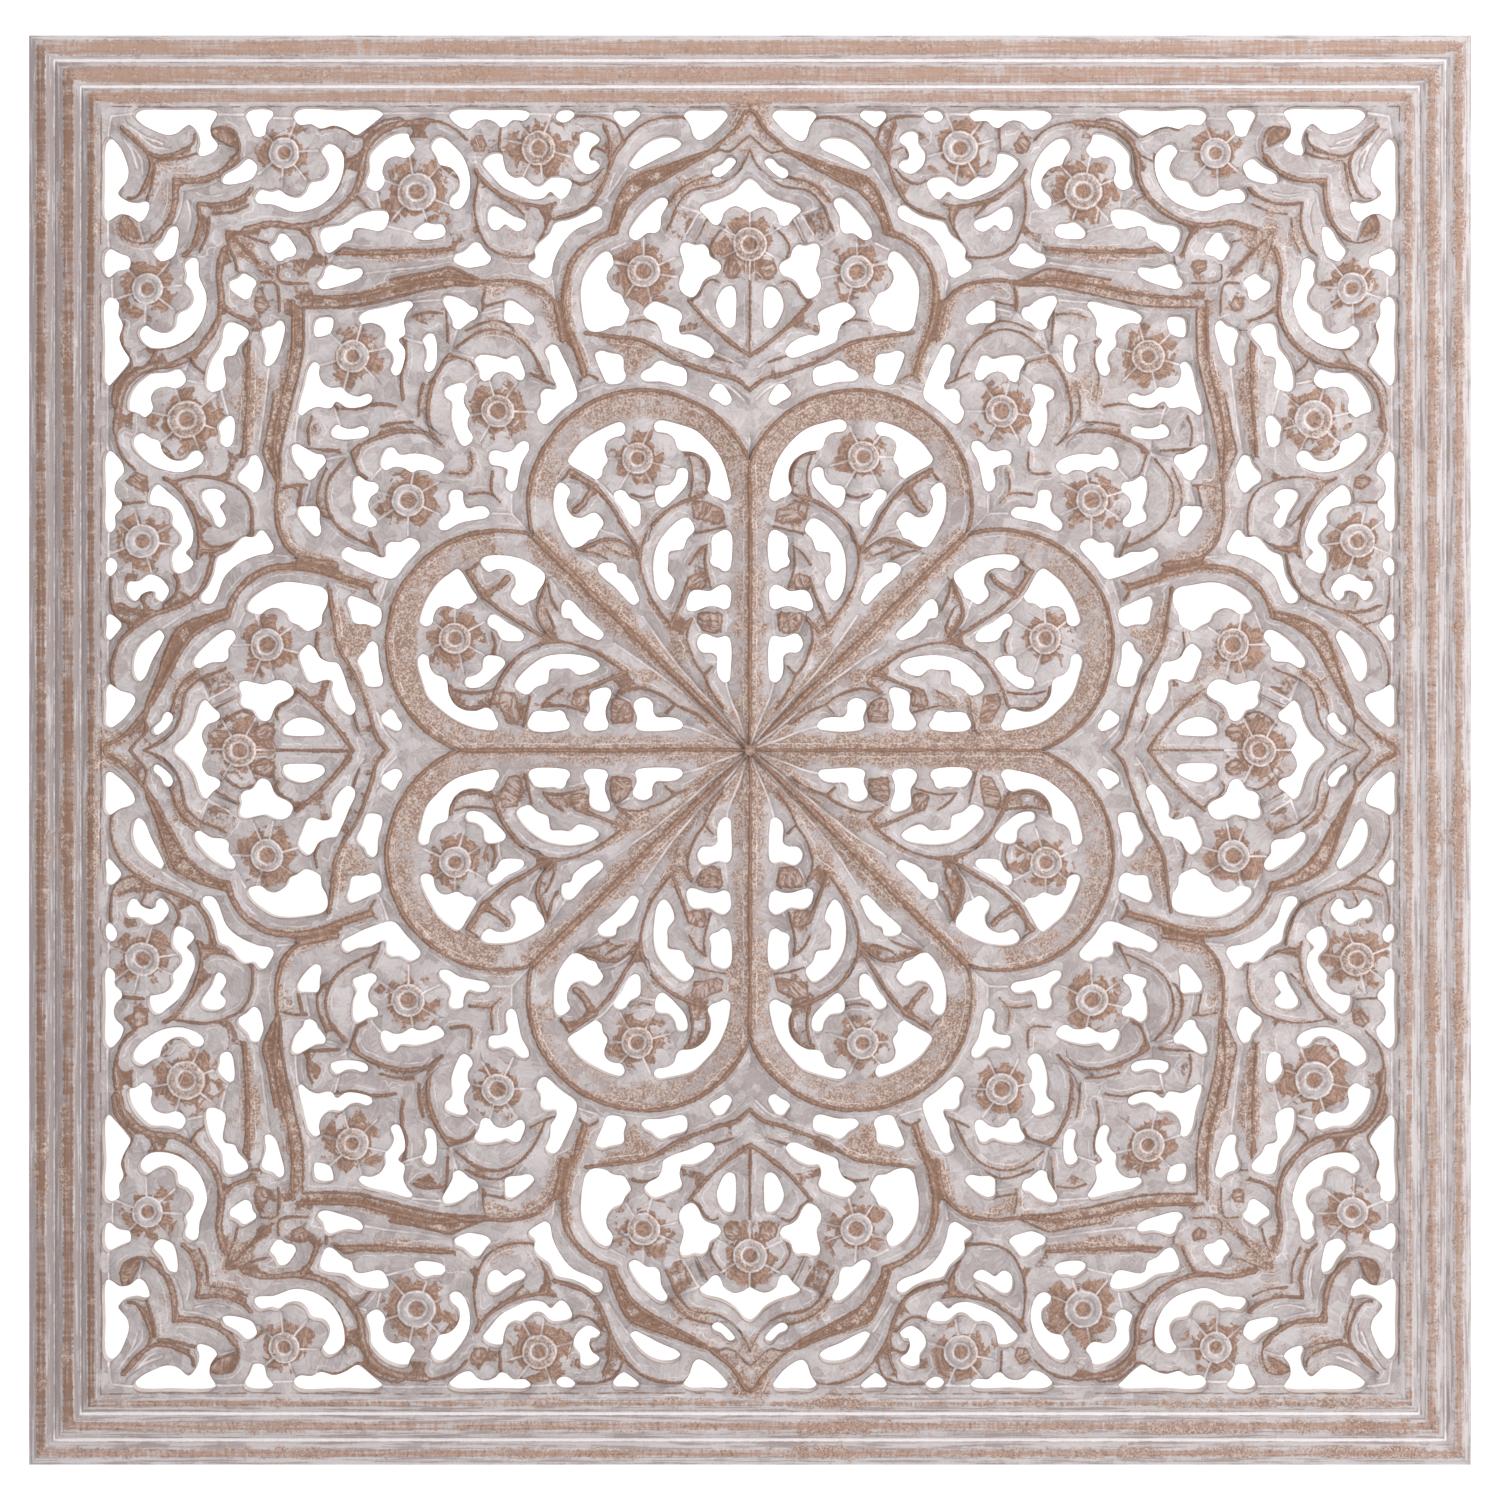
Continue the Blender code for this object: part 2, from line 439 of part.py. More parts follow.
class Plan:
    """Points, lines and outlines of one face of the board, seen from the front."""

    def __init__(self):
        """Starts empty."""
        self.points = []
        self.heights = []
        self.lines = []
        self.outlines = []
        self.places = {}

    def add_points(self, points, height):
        """Indices of the points, each kept once, at the given height."""
        indices = []
        for x, z in points:
            place = place_of(x, z)
            if place not in self.places:
                self.places[place] = len(self.points)
                self.points.append(Vector(place))
                self.heights.append(height)
            indices.append(self.places[place])
        return indices

    def add_line(self, points, height):
        """An open crest."""
        indices = self.add_points(points, height)
        self.lines += [pair for pair in zip(indices, indices[1:]) if pair[0] != pair[1]]

    def add_loop(self, points, height):
        """A closed crest or groove."""
        indices = self.add_points(points, height)
        self.lines += list(zip(indices, indices[1:] + indices[:1]))

    def add_outline(self, points, height):
        """A closed outline, anticlockwise, with a wall below it."""
        corners = [tuple(p) for p in points]
        if twice_area(*corners) < 0:
            corners.reverse()
        self.outlines.append(self.add_points(corners, height))

    def triangles(self):
        """Points, heights and triangles of the face, with the windows left open."""
        windows = self.outlines[1:]
        points, _, faces, origins, _, inside = delaunay_2d_cdt(
            self.points, self.lines, self.outlines, 0, NOTHING, True)
        heights = [self.heights[old[0]] if old else CREST_HEIGHT for old in origins]
        window_numbers = set(range(1, len(windows) + 1))
        kept = [face for face, found in zip(faces, inside) if not window_numbers & set(found)]
        return points, heights, kept


def box(inset):
    """Corners of the rectangle at that distance inside the outer edge."""
    half_width, half_height = WIDTH / 2 - inset, HEIGHT / 2 - inset
    return [(-half_width, -half_height), (half_width, -half_height),
            (half_width, half_height), (-half_width, half_height)]


def upright(points):
    """Pattern points as x and z on the board, whose height is a little under its width."""
    return np.asarray(points) * (1, HEIGHT / WIDTH)


def front_and_back():
    """Plans of the carved front and of the plain back, with the same windows."""
    windows = all_windows()
    front, back = Plan(), Plan()
    for plan in (front, back):
        plan.add_outline(box(0), EDGE_HEIGHT)
        for window in windows:
            plan.add_outline(upright(window), RIM_HEIGHT)
    for inset, height in REED_LINES:
        front.add_loop(box(inset), height)
    for line in relief_lines(windows):
        for mirrored in sectors(line):
            front.add_line(upright(mirrored), CREST_HEIGHT)
    for flower in FLOWERS:
        ring = flower_points(flower)
        for corners, middle in zip(sectors(ring), sectors(np.array([flower[:2]]))):
            pit = upright(middle)
            if place_of(*pit[0]) in front.places:
                continue
            front.add_points(pit, PIT_HEIGHT)
            front.add_loop(upright(corners), FLOWER_HEIGHT)
    return front, back


def board_mesh():
    """The whole board: carved front, plain back, and a wall round it and round every window."""
    front, back = front_and_back()
    mesh = bmesh.new()
    corners = {}

    def corner(x, height, z):
        """The mesh's point at that place, made once."""
        place = (round(x, 3), height, round(z, 3))
        if place not in corners:
            corners[place] = mesh.verts.new(Vector((x, -height, z)) / MM_IN_M)
        return corners[place]

    points, heights, faces = front.triangles()
    for face in faces:
        mesh.faces.new([corner(points[i].x, heights[i], points[i].y) for i in face])
    points, _, faces = back.triangles()
    for face in faces:
        mesh.faces.new([corner(points[i].x, 0.0, points[i].y) for i in reversed(face)])
    for outline in front.outlines:
        for i, j in zip(outline, outline[1:] + outline[:1]):
            start, end = front.points[i], front.points[j]
            mesh.faces.new([corner(start.x, front.heights[i], start.y), corner(start.x, 0.0, start.y),
                            corner(end.x, 0.0, end.y), corner(end.x, front.heights[j], end.y)])
    bmesh.ops.recalc_face_normals(mesh, faces=mesh.faces[:])
    return mesh


def wood_material():
    """Fibreboard with a thin, worn, greyish white wash."""
    material = bpy.data.materials.new("washed_board")
    material.use_nodes = True
    shader = material.node_tree.nodes["Principled BSDF"]
    shader.inputs["Base Color"].default_value = (0.42, 0.35, 0.31, 1)
    shader.inputs["Roughness"].default_value = 0.8
    shader.inputs["Metallic"].default_value = 0
    return material


def build():
    """Clears the scene and makes the board."""
    for old in list(bpy.data.objects):
        bpy.data.objects.remove(old, do_unlink=True)
    shape = board_mesh()
    data = bpy.data.meshes.new("fretwork_panel")
    shape.to_mesh(data)
    shape.free()
    data.materials.append(wood_material())
    panel = bpy.data.objects.new("fretwork_panel", data)
    bpy.context.scene.collection.objects.link(panel)


build()
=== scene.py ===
"""Carved fretwork grille, washed and rubbed back: its relief and finishes, the light and the camera.

The carving repeats in eight mirrored sectors. Everything is laid out once, in the sector between the
upper vertical axis and the upper right diagonal: a is the distance from the axis and b the height
above the centre, both in millimetres. The board hangs upright with its back in the plane y = 0.
"""

import logging
import math
from dataclasses import dataclass, field
from enum import Enum
from functools import reduce
from itertools import product
from typing import Dict, Iterable, Iterator, List, Optional, Sequence, Tuple

import bpy
import numpy as np
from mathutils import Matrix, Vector, noise
from mathutils.geometry import delaunay_2d_cdt


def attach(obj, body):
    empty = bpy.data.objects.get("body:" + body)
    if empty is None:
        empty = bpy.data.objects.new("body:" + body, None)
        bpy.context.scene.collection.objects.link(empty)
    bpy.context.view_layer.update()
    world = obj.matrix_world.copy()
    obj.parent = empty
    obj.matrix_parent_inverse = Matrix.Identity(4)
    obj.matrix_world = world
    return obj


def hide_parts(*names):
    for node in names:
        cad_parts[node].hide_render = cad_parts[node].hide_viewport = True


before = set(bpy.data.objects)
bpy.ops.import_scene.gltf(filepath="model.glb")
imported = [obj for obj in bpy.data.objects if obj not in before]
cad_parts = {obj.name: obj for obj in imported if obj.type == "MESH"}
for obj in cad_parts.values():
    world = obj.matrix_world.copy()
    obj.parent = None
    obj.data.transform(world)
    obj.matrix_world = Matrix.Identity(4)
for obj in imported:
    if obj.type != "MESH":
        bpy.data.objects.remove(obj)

Pair = Tuple[float, float]
Line = Sequence[Pair]
Colour = Tuple[int, int, int]

MM_IN_M = 1000.0
HEIGHT_TO_WIDTH = 906 / 914
# Half the width of the pattern, and how far in from the outer edge the border and its last slope end
HALF_SIDE = 457.0
BORDER_END = 44.0
CARVING_START = 48.0
# How many points are measured at a time
BATCH = 1500

# Windows inside a petal ring
PETAL_WINDOWS = (
    ((12.2, 47), (12.2, 70), (14.5, 72.8), (20.5, 71.8), (28.5, 74.3), (32, 71.5), (33, 66.5),
     (30, 62.2), (24, 61.8), (20.8, 59.5), (20.8, 52), (19.5, 46), (16, 43), (13, 44.3)),
    ((12.2, 94), (12.2, 102), (16, 105.6), (21, 104), (25, 101.5), (34, 102), (37.5, 100), (40, 92),
     (38.5, 89), (35.5, 88.5), (26, 91.6), (21, 91.5), (16, 89.8), (13, 91.3)),
    ((54, 95.5), (58, 99), (60.5, 108), (61.1, 119), (58.5, 131), (53, 139.5), (44.5, 147.3),
     (40.5, 148.8), (37.5, 147), (35, 140.5), (39.7, 135), (42.5, 128.2), (47, 127.4), (51, 126.5),
     (51.4, 120), (51.8, 114.5), (47.7, 108.5), (50, 99.5)),
    ((12.2, 118), (12.2, 138), (15.5, 140.8), (20, 139.3), (23.5, 137), (24.6, 132.5), (24.1, 125),
     (25.3, 120.5), (23.5, 117.5), (19.5, 116), (16.5, 113.9), (13.5, 115)),
    ((70.2, 96), (74, 92.8), (78, 95.8), (85, 103.5), (95.7, 113.5), (96.3, 117), (93.5, 119.4),
     (88, 119.8), (85, 118.5), (84, 113.6), (79.8, 112.2), (74, 106), (72, 101)),
    ((69.4, 147.5), (70, 157), (72.3, 159.4), (76.3, 161.3), (79.5, 165.8), (83, 166.9), (86.8, 164.5),
     (86, 160.5), (81.5, 154.5), (77, 146), (73, 143), (70.2, 144.3)),
    ((39.2, 175.5), (40, 179.5), (42.7, 181), (46, 180), (47.6, 174.5), (51.5, 170), (58.2, 168.9),
     (60.3, 166), (58.8, 157.5), (55.3, 155.1), (52.5, 156.7), (46, 163), (40.7, 169.5)),
    ((16, 159.5), (12.6, 161.8), (12.8, 168), (15.5, 179.5), (20, 189), (28.5, 199.4), (35, 205),
     (48, 209.5), (58, 211.3), (61.3, 208.5), (60, 204.3), (53, 202.9), (48.5, 199.8), (46.3, 194),
     (44, 192), (36, 190.9), (28.5, 186.2), (25, 179.5), (24.9, 172.5), (26.7, 166.8), (24.5, 163.2),
     (19.5, 161.2)),
    ((91, 197.5), (92.4, 193), (90.5, 185.5), (93.5, 180.5), (94.3, 175.8), (98, 173.3),
     (101.5, 175.5), (108, 179.3), (114, 182.8), (115.9, 186), (113, 190.8), (107, 198), (98, 204),
     (87, 209), (82, 209.9), (79.3, 206.5), (81, 201.8), (87, 200.2)),
    ((93, 145), (95, 149), (98.6, 151.9), (101.8, 151.5), (106.5, 149), (112.5, 150), (116, 155),
     (116, 161), (114.1, 165.5), (117, 169.5), (121, 171.2), (123.8, 168.5), (124.8, 159),
     (123.5, 148.5), (119.5, 139), (113.5, 130.7), (110.5, 130), (106.5, 131.2), (102, 134.6),
     (98, 136), (96, 140)),
)
# Windows inside the shield on a diagonal
SHIELD_WINDOWS = (
    ((151.5, 165.2), (148.7, 167), (147, 174), (144.5, 184.5), (140.3, 192.5), (141, 196.8),
     (144.5, 197.9), (147.8, 196), (151.5, 191.8), (156.5, 190.4), (161.5, 191.7), (165.3, 190.2),
     (166, 186), (164.5, 182.5), (158.5, 181.7), (154.2, 179.3), (155.5, 174), (155, 168)),
    ((109.4, 228), (113.5, 241), (118.5, 251.5), (122.6, 258.8), (126, 259.8), (130, 256),
     (127.4, 249), (126.6, 241), (122.8, 233.6), (123.5, 231.3), (130, 231.3), (133, 228),
     (132.9, 222.3), (135.7, 216.5), (133.4, 210.5), (130, 208.8), (126.5, 210.7), (119.5, 217.6),
     (110.8, 224)),
    ((142.7, 240.5), (145, 248), (147, 252), (150.5, 252.6), (155, 250.2), (160, 252), (172, 252.6),
     (175.2, 249.5), (171.8, 243), (171, 238), (168.5, 235.7), (165, 236.7), (161.8, 240.6),
     (157, 242.2), (151.5, 240.5), (147.8, 237.2), (144.3, 236.9)),
    ((178.9, 231.5), (182, 234.7), (188, 233.8), (193.3, 230.3), (193, 225.8), (188.9, 222.3),
     (189.5, 213), (187.3, 202.5), (183.5, 195), (180.5, 193.9), (176.5, 197), (175.8, 200.5),
     (178.6, 205.5), (178.5, 211.3), (177.2, 214.3), (180.5, 220.3), (181, 225.5)),
    ((136.8, 276), (139.5, 279.8), (145, 284.3), (151.5, 287.9), (155.5, 286.8), (156, 281),
     (155.8, 275.5), (153, 273.3), (146, 273), (140.5, 272), (137.5, 273.4)),
    ((172.4, 279.5), (174.3, 283.2), (177.8, 284.2), (183, 288.6), (190, 291.1), (194.3, 290.9),
     (195.5, 287.5), (191.5, 280), (189.2, 275.3), (188.7, 271), (185, 268.9), (181.5, 270.6),
     (178, 273.8), (174.3, 275.6)),
    ((198.5, 255), (199.2, 262), (201.3, 266.1), (205, 266.4), (208.5, 262.5), (206, 257),
     (205.8, 251.5), (207.3, 246.3), (205.5, 242.5), (202.5, 242), (200, 244.5)),
    ((214, 284.5), (216, 287.3), (220, 287.2), (231, 284), (245.5, 280.6), (249, 277), (246.5, 273),
     (241, 273.4), (235, 271.2), (232, 266.5), (232.4, 259.8), (228, 254.5), (226.8, 249.5),
     (228.6, 243.5), (226, 239.8), (222.8, 240.2), (219.5, 247.5), (219.2, 256), (223.2, 262.3),
     (219.3, 265.4), (219, 268.5), (219.9, 274), (217.5, 279.8)),
)
# Windows inside the pointed dome on an axis
DOME_WINDOWS = (
    ((9.2, 274), (9.2, 293), (11, 296.7), (15, 296.7), (19, 292.8), (21.4, 285), (19.8, 278.5),
     (15.8, 271.5), (13, 270), (10.2, 271.3)),
    ((22.5, 255), (25, 259.4), (31, 263.8), (38, 266.2), (43.8, 266.2), (45.1, 270.5), (43.1, 277.5),
     (44.6, 281), (52, 284.5), (61, 287.2), (65.5, 284), (67.6, 280.5), (65, 276.4), (59, 273),
     (56.3, 268), (55.3, 262.2), (50, 259), (37, 254.3), (29.5, 251), (25, 251.3)),
    ((40.3, 241.5), (42, 244.6), (50, 247), (56.5, 249.8), (60, 248.4), (63, 245.2), (67.5, 243),
     (69.4, 239.5), (66.8, 236.3), (56, 235.6), (44.5, 233), (41.3, 234.5)),
    ((11.8, 224.5), (13.5, 229), (17.5, 234.2), (21.5, 234.6), (24, 231.5), (26.2, 228.2),
     (24.3, 225.2), (20.5, 223.3), (16, 220.3), (12.8, 221.7)),
    ((78.6, 239), (80.1, 244), (80.3, 250.5), (82.3, 253.1), (89, 254.4), (94, 256), (98.1, 254),
     (97.5, 250), (93, 239.5), (90.8, 234.8), (87.5, 233.6), (81, 235)),
    ((76, 281.5), (79.5, 286.8), (82, 292), (87.5, 294.8), (91, 301), (90, 306), (87, 310.5),
     (88.4, 317.5), (91, 319.4), (95, 317.8), (101, 311.5), (106, 302.5), (107.4, 294), (106, 280),
     (104, 271.5), (100, 268.1), (93, 268.2), (86.5, 271.4), (80.5, 272.2), (77.8, 276)),
    ((30, 299.3), (33, 293), (36.5, 289.6), (42, 291.6), (44.8, 296), (44.6, 302), (42, 308),
     (43.3, 314.3), (44.6, 320.5), (43, 324.5), (40, 325), (35, 323.3), (30.5, 324), (27, 321),
     (25.5, 316), (20, 312.5), (18.3, 309), (20, 305), (27, 302)),
    ((9.1, 377), (11, 379.5), (14, 379.6), (18.5, 375), (23.2, 372.8), (24.4, 369.5), (22.3, 366.5),
     (18.8, 366.4), (13, 370.8)),
    ((52.4, 350), (54, 353.5), (58, 353.7), (66.5, 347), (72, 340.8), (76.8, 332.5), (76.5, 328),
     (73, 326.1), (69.8, 327.5), (65.5, 330.7), (60, 330.8), (57.3, 333.5), (56.3, 342)),
)
# Windows of the scrolls between dome, shield and frame
SPANDREL_WINDOWS = (
    ((14.2, 406), (16, 409.6), (28, 409.9), (39, 409.8), (42.2, 406.8), (38.2, 400), (36, 393),
     (33.5, 390.4), (30, 390.7), (22.5, 395.7), (16.5, 402.3)),
    ((43.9, 388), (46.5, 391.3), (54, 392.7), (62, 390.7), (68, 386.7), (75, 378.2), (76.7, 374.5),
     (73, 371.7), (69.5, 373), (56, 380), (46, 384.6)),
    ((69.8, 406.5), (72, 409.7), (79, 409.5), (85.5, 409.2), (86.8, 406), (82.5, 400), (79.5, 398.5),
     (76, 400.5)),
    ((95, 390.5), (97.5, 394), (103.5, 396.3), (107.3, 394.5), (107.8, 388.5), (111.5, 383),
     (112, 380), (110.2, 374), (106.5, 370.2), (102.5, 368.2), (97, 370.5), (94.8, 373.5), (98, 377.9),
     (101, 378), (101.6, 380.5), (99.5, 385.5), (96, 388)),
    ((110.8, 406), (113, 409.3), (120.5, 409.5), (123.3, 406.3), (121.5, 402.4), (117.5, 401),
     (113, 403)),
    ((139.3, 406.5), (142, 409.5), (165, 409.9), (189, 409.5), (191.8, 406.5), (187, 400.3),
     (182.5, 397.7), (178, 397.2), (172.5, 401.9), (167, 403.1), (161.8, 401.3), (158.5, 398.2),
     (155, 398.6), (150.5, 402.5), (142.5, 402.5)),
    ((112.5, 362.5), (115, 365.7), (125.5, 366.8), (132.5, 361.6), (137, 361.7), (144.5, 367.3),
     (149.5, 366.9), (154.5, 370), (156.5, 376), (157.5, 381.3), (161.5, 382.2), (167.5, 380),
     (170, 376), (165, 369), (157, 360.7), (147, 355.5), (138, 352.4), (130.5, 353.5), (126, 357.2),
     (122.5, 354), (119.5, 352.3), (116, 354.3)),
    ((141.8, 336.5), (144, 339.7), (151, 342.4), (160.5, 348.3), (164, 348.5), (166.4, 345.5),
     (166.5, 338), (163.5, 333.2), (160, 332.5), (157.3, 334.6), (155.5, 336.3), (151, 333.5),
     (147.5, 332), (143.5, 333.5)),
    ((93.6, 345), (95.2, 348), (98.5, 348.6), (104.5, 344.3), (113, 340.4), (123.5, 337.8), (127, 331),
     (134.5, 324.4), (136.8, 320.5), (136.3, 315.3), (140.3, 312), (140.5, 308.8), (133, 303.2),
     (129.5, 301.9), (126.4, 303.8), (124.5, 312.5), (119.5, 323.5), (111, 332.5), (97, 338.4),
     (94, 341)),
    ((164.3, 314.5), (168.7, 320), (171.8, 324.6), (175.5, 325.3), (182.5, 319.5), (187.3, 317.5),
     (187.8, 312.8), (179, 308.3), (175, 308.8), (166.3, 311.3)),
    ((177.6, 363), (179.5, 373), (185, 383), (195, 391.8), (200, 391.6), (203.1, 386), (199.5, 379.8),
     (197.5, 375), (190, 372.3), (185, 366), (185.6, 359.5), (190.3, 354.8), (191, 350),
     (187.5, 346.4), (183.5, 347.3), (179.5, 353.5)),
    ((193, 332), (196, 336.8), (201.5, 337.2), (206, 338.3), (209.5, 336.5), (213.6, 331.5),
     (211.5, 327.7), (203.5, 326.8), (194.5, 329)),
    ((212.9, 384), (216, 389.3), (217.5, 394.2), (222, 394.9), (230, 392.3), (237.5, 386.3),
     (241.2, 381), (241.5, 371.5), (243.5, 362.5), (237, 357.8), (233, 360), (231.3, 364.5),
     (232.7, 370), (230.5, 377), (225, 379.8), (218, 378.8)),
    ((228.8, 342.5), (231.5, 345.7), (242, 345.5), (250.5, 342.5), (258.5, 337), (271, 334.5),
     (273.4, 331), (270.3, 320.8), (267.3, 318.2), (263.5, 319.4), (258, 324.5), (252.8, 326.9),
     (251, 333), (248, 334.5), (234.5, 332.7), (231, 334.8)),
    ((233.3, 406.5), (236.5, 409.7), (262, 409.9), (287, 410.1), (290.2, 406.5), (286, 400.2),
     (278, 400.2), (272.5, 397.5), (264, 399.4), (257, 397.2), (249.5, 393.2), (245.5, 395.3),
     (236, 403.5)),
    ((257, 374), (258, 381), (264, 387.4), (268.5, 388), (272, 383.8), (268.5, 378), (267.3, 371),
     (271, 365.6), (279, 363.6), (282.5, 357.5), (287.5, 354.2), (294, 355.2), (299.5, 359),
     (304.5, 358), (311.5, 359.3), (315.2, 354.5), (312.5, 350.2), (302, 349), (289.5, 344.4),
     (279, 346), (270, 350), (262.5, 357.5), (258, 367)),
    ((302.4, 406.5), (305.5, 409.9), (318.5, 409.9), (321.2, 407), (318, 400.5), (315.3, 393.8),
     (312.5, 392.5), (308.3, 393.6), (306.3, 400.5)),
    ((312.7, 373.5), (316, 377.5), (319.8, 379), (326, 373.8), (334.5, 368.8), (335.5, 364.3),
     (332.5, 362.4), (325, 362.6), (316, 365.5), (313.8, 369)),
    ((338.4, 407), (341.5, 410), (366, 410.4), (388.5, 409.8), (391.4, 406.5), (386, 400.5),
     (378, 396.2), (370, 393.7), (363.5, 395), (358.5, 399.2), (355.8, 400.6), (352, 396.7),
     (350.3, 389.5), (351.5, 384.5), (350, 381), (347, 380.5), (340, 383.6), (338, 387.3), (342, 393),
     (342.7, 399)),
    ((245.7, 305.5), (247.3, 308.7), (250.5, 309.2), (256.5, 308.2), (262.5, 309.8), (267.5, 311),
     (270.3, 309), (272, 303.8), (275.3, 300), (273.5, 296.3), (270, 295), (260, 297.2),
     (248.5, 301.5)),
    ((287.7, 319.5), (290.5, 325), (295.5, 330.5), (299.5, 330.8), (301.8, 326), (305.3, 322),
     (303.5, 318), (300, 313.4), (297, 313.2), (294.5, 315.2), (289.5, 316.5)),
)
# Half of the window that lies across an axis, from its top to its bottom
AXIS_WINDOWS = (
    ((0, 365.9), (3.5, 364.2), (9, 358), (18, 353), (30, 349), (32.2, 345.5), (27, 340), (24, 336.2),
     (21, 335.6), (18.5, 338), (16.5, 343.5), (10, 347.3), (4.5, 346), (0, 343.8)),
)
# Half of the window that lies across a diagonal
DIAGONAL_WINDOWS = (
    ((276.2, 276.2), (269.5, 277.6), (265.2, 276.3), (264.5, 273), (266.8, 266.8)),
)


class Wear(Enum):
    """Half the width, in millimetres, of the bare line that rubbing leaves along a crest."""

    FINE = 0.9
    PLAIN = 1.4
    BROAD = 2.1


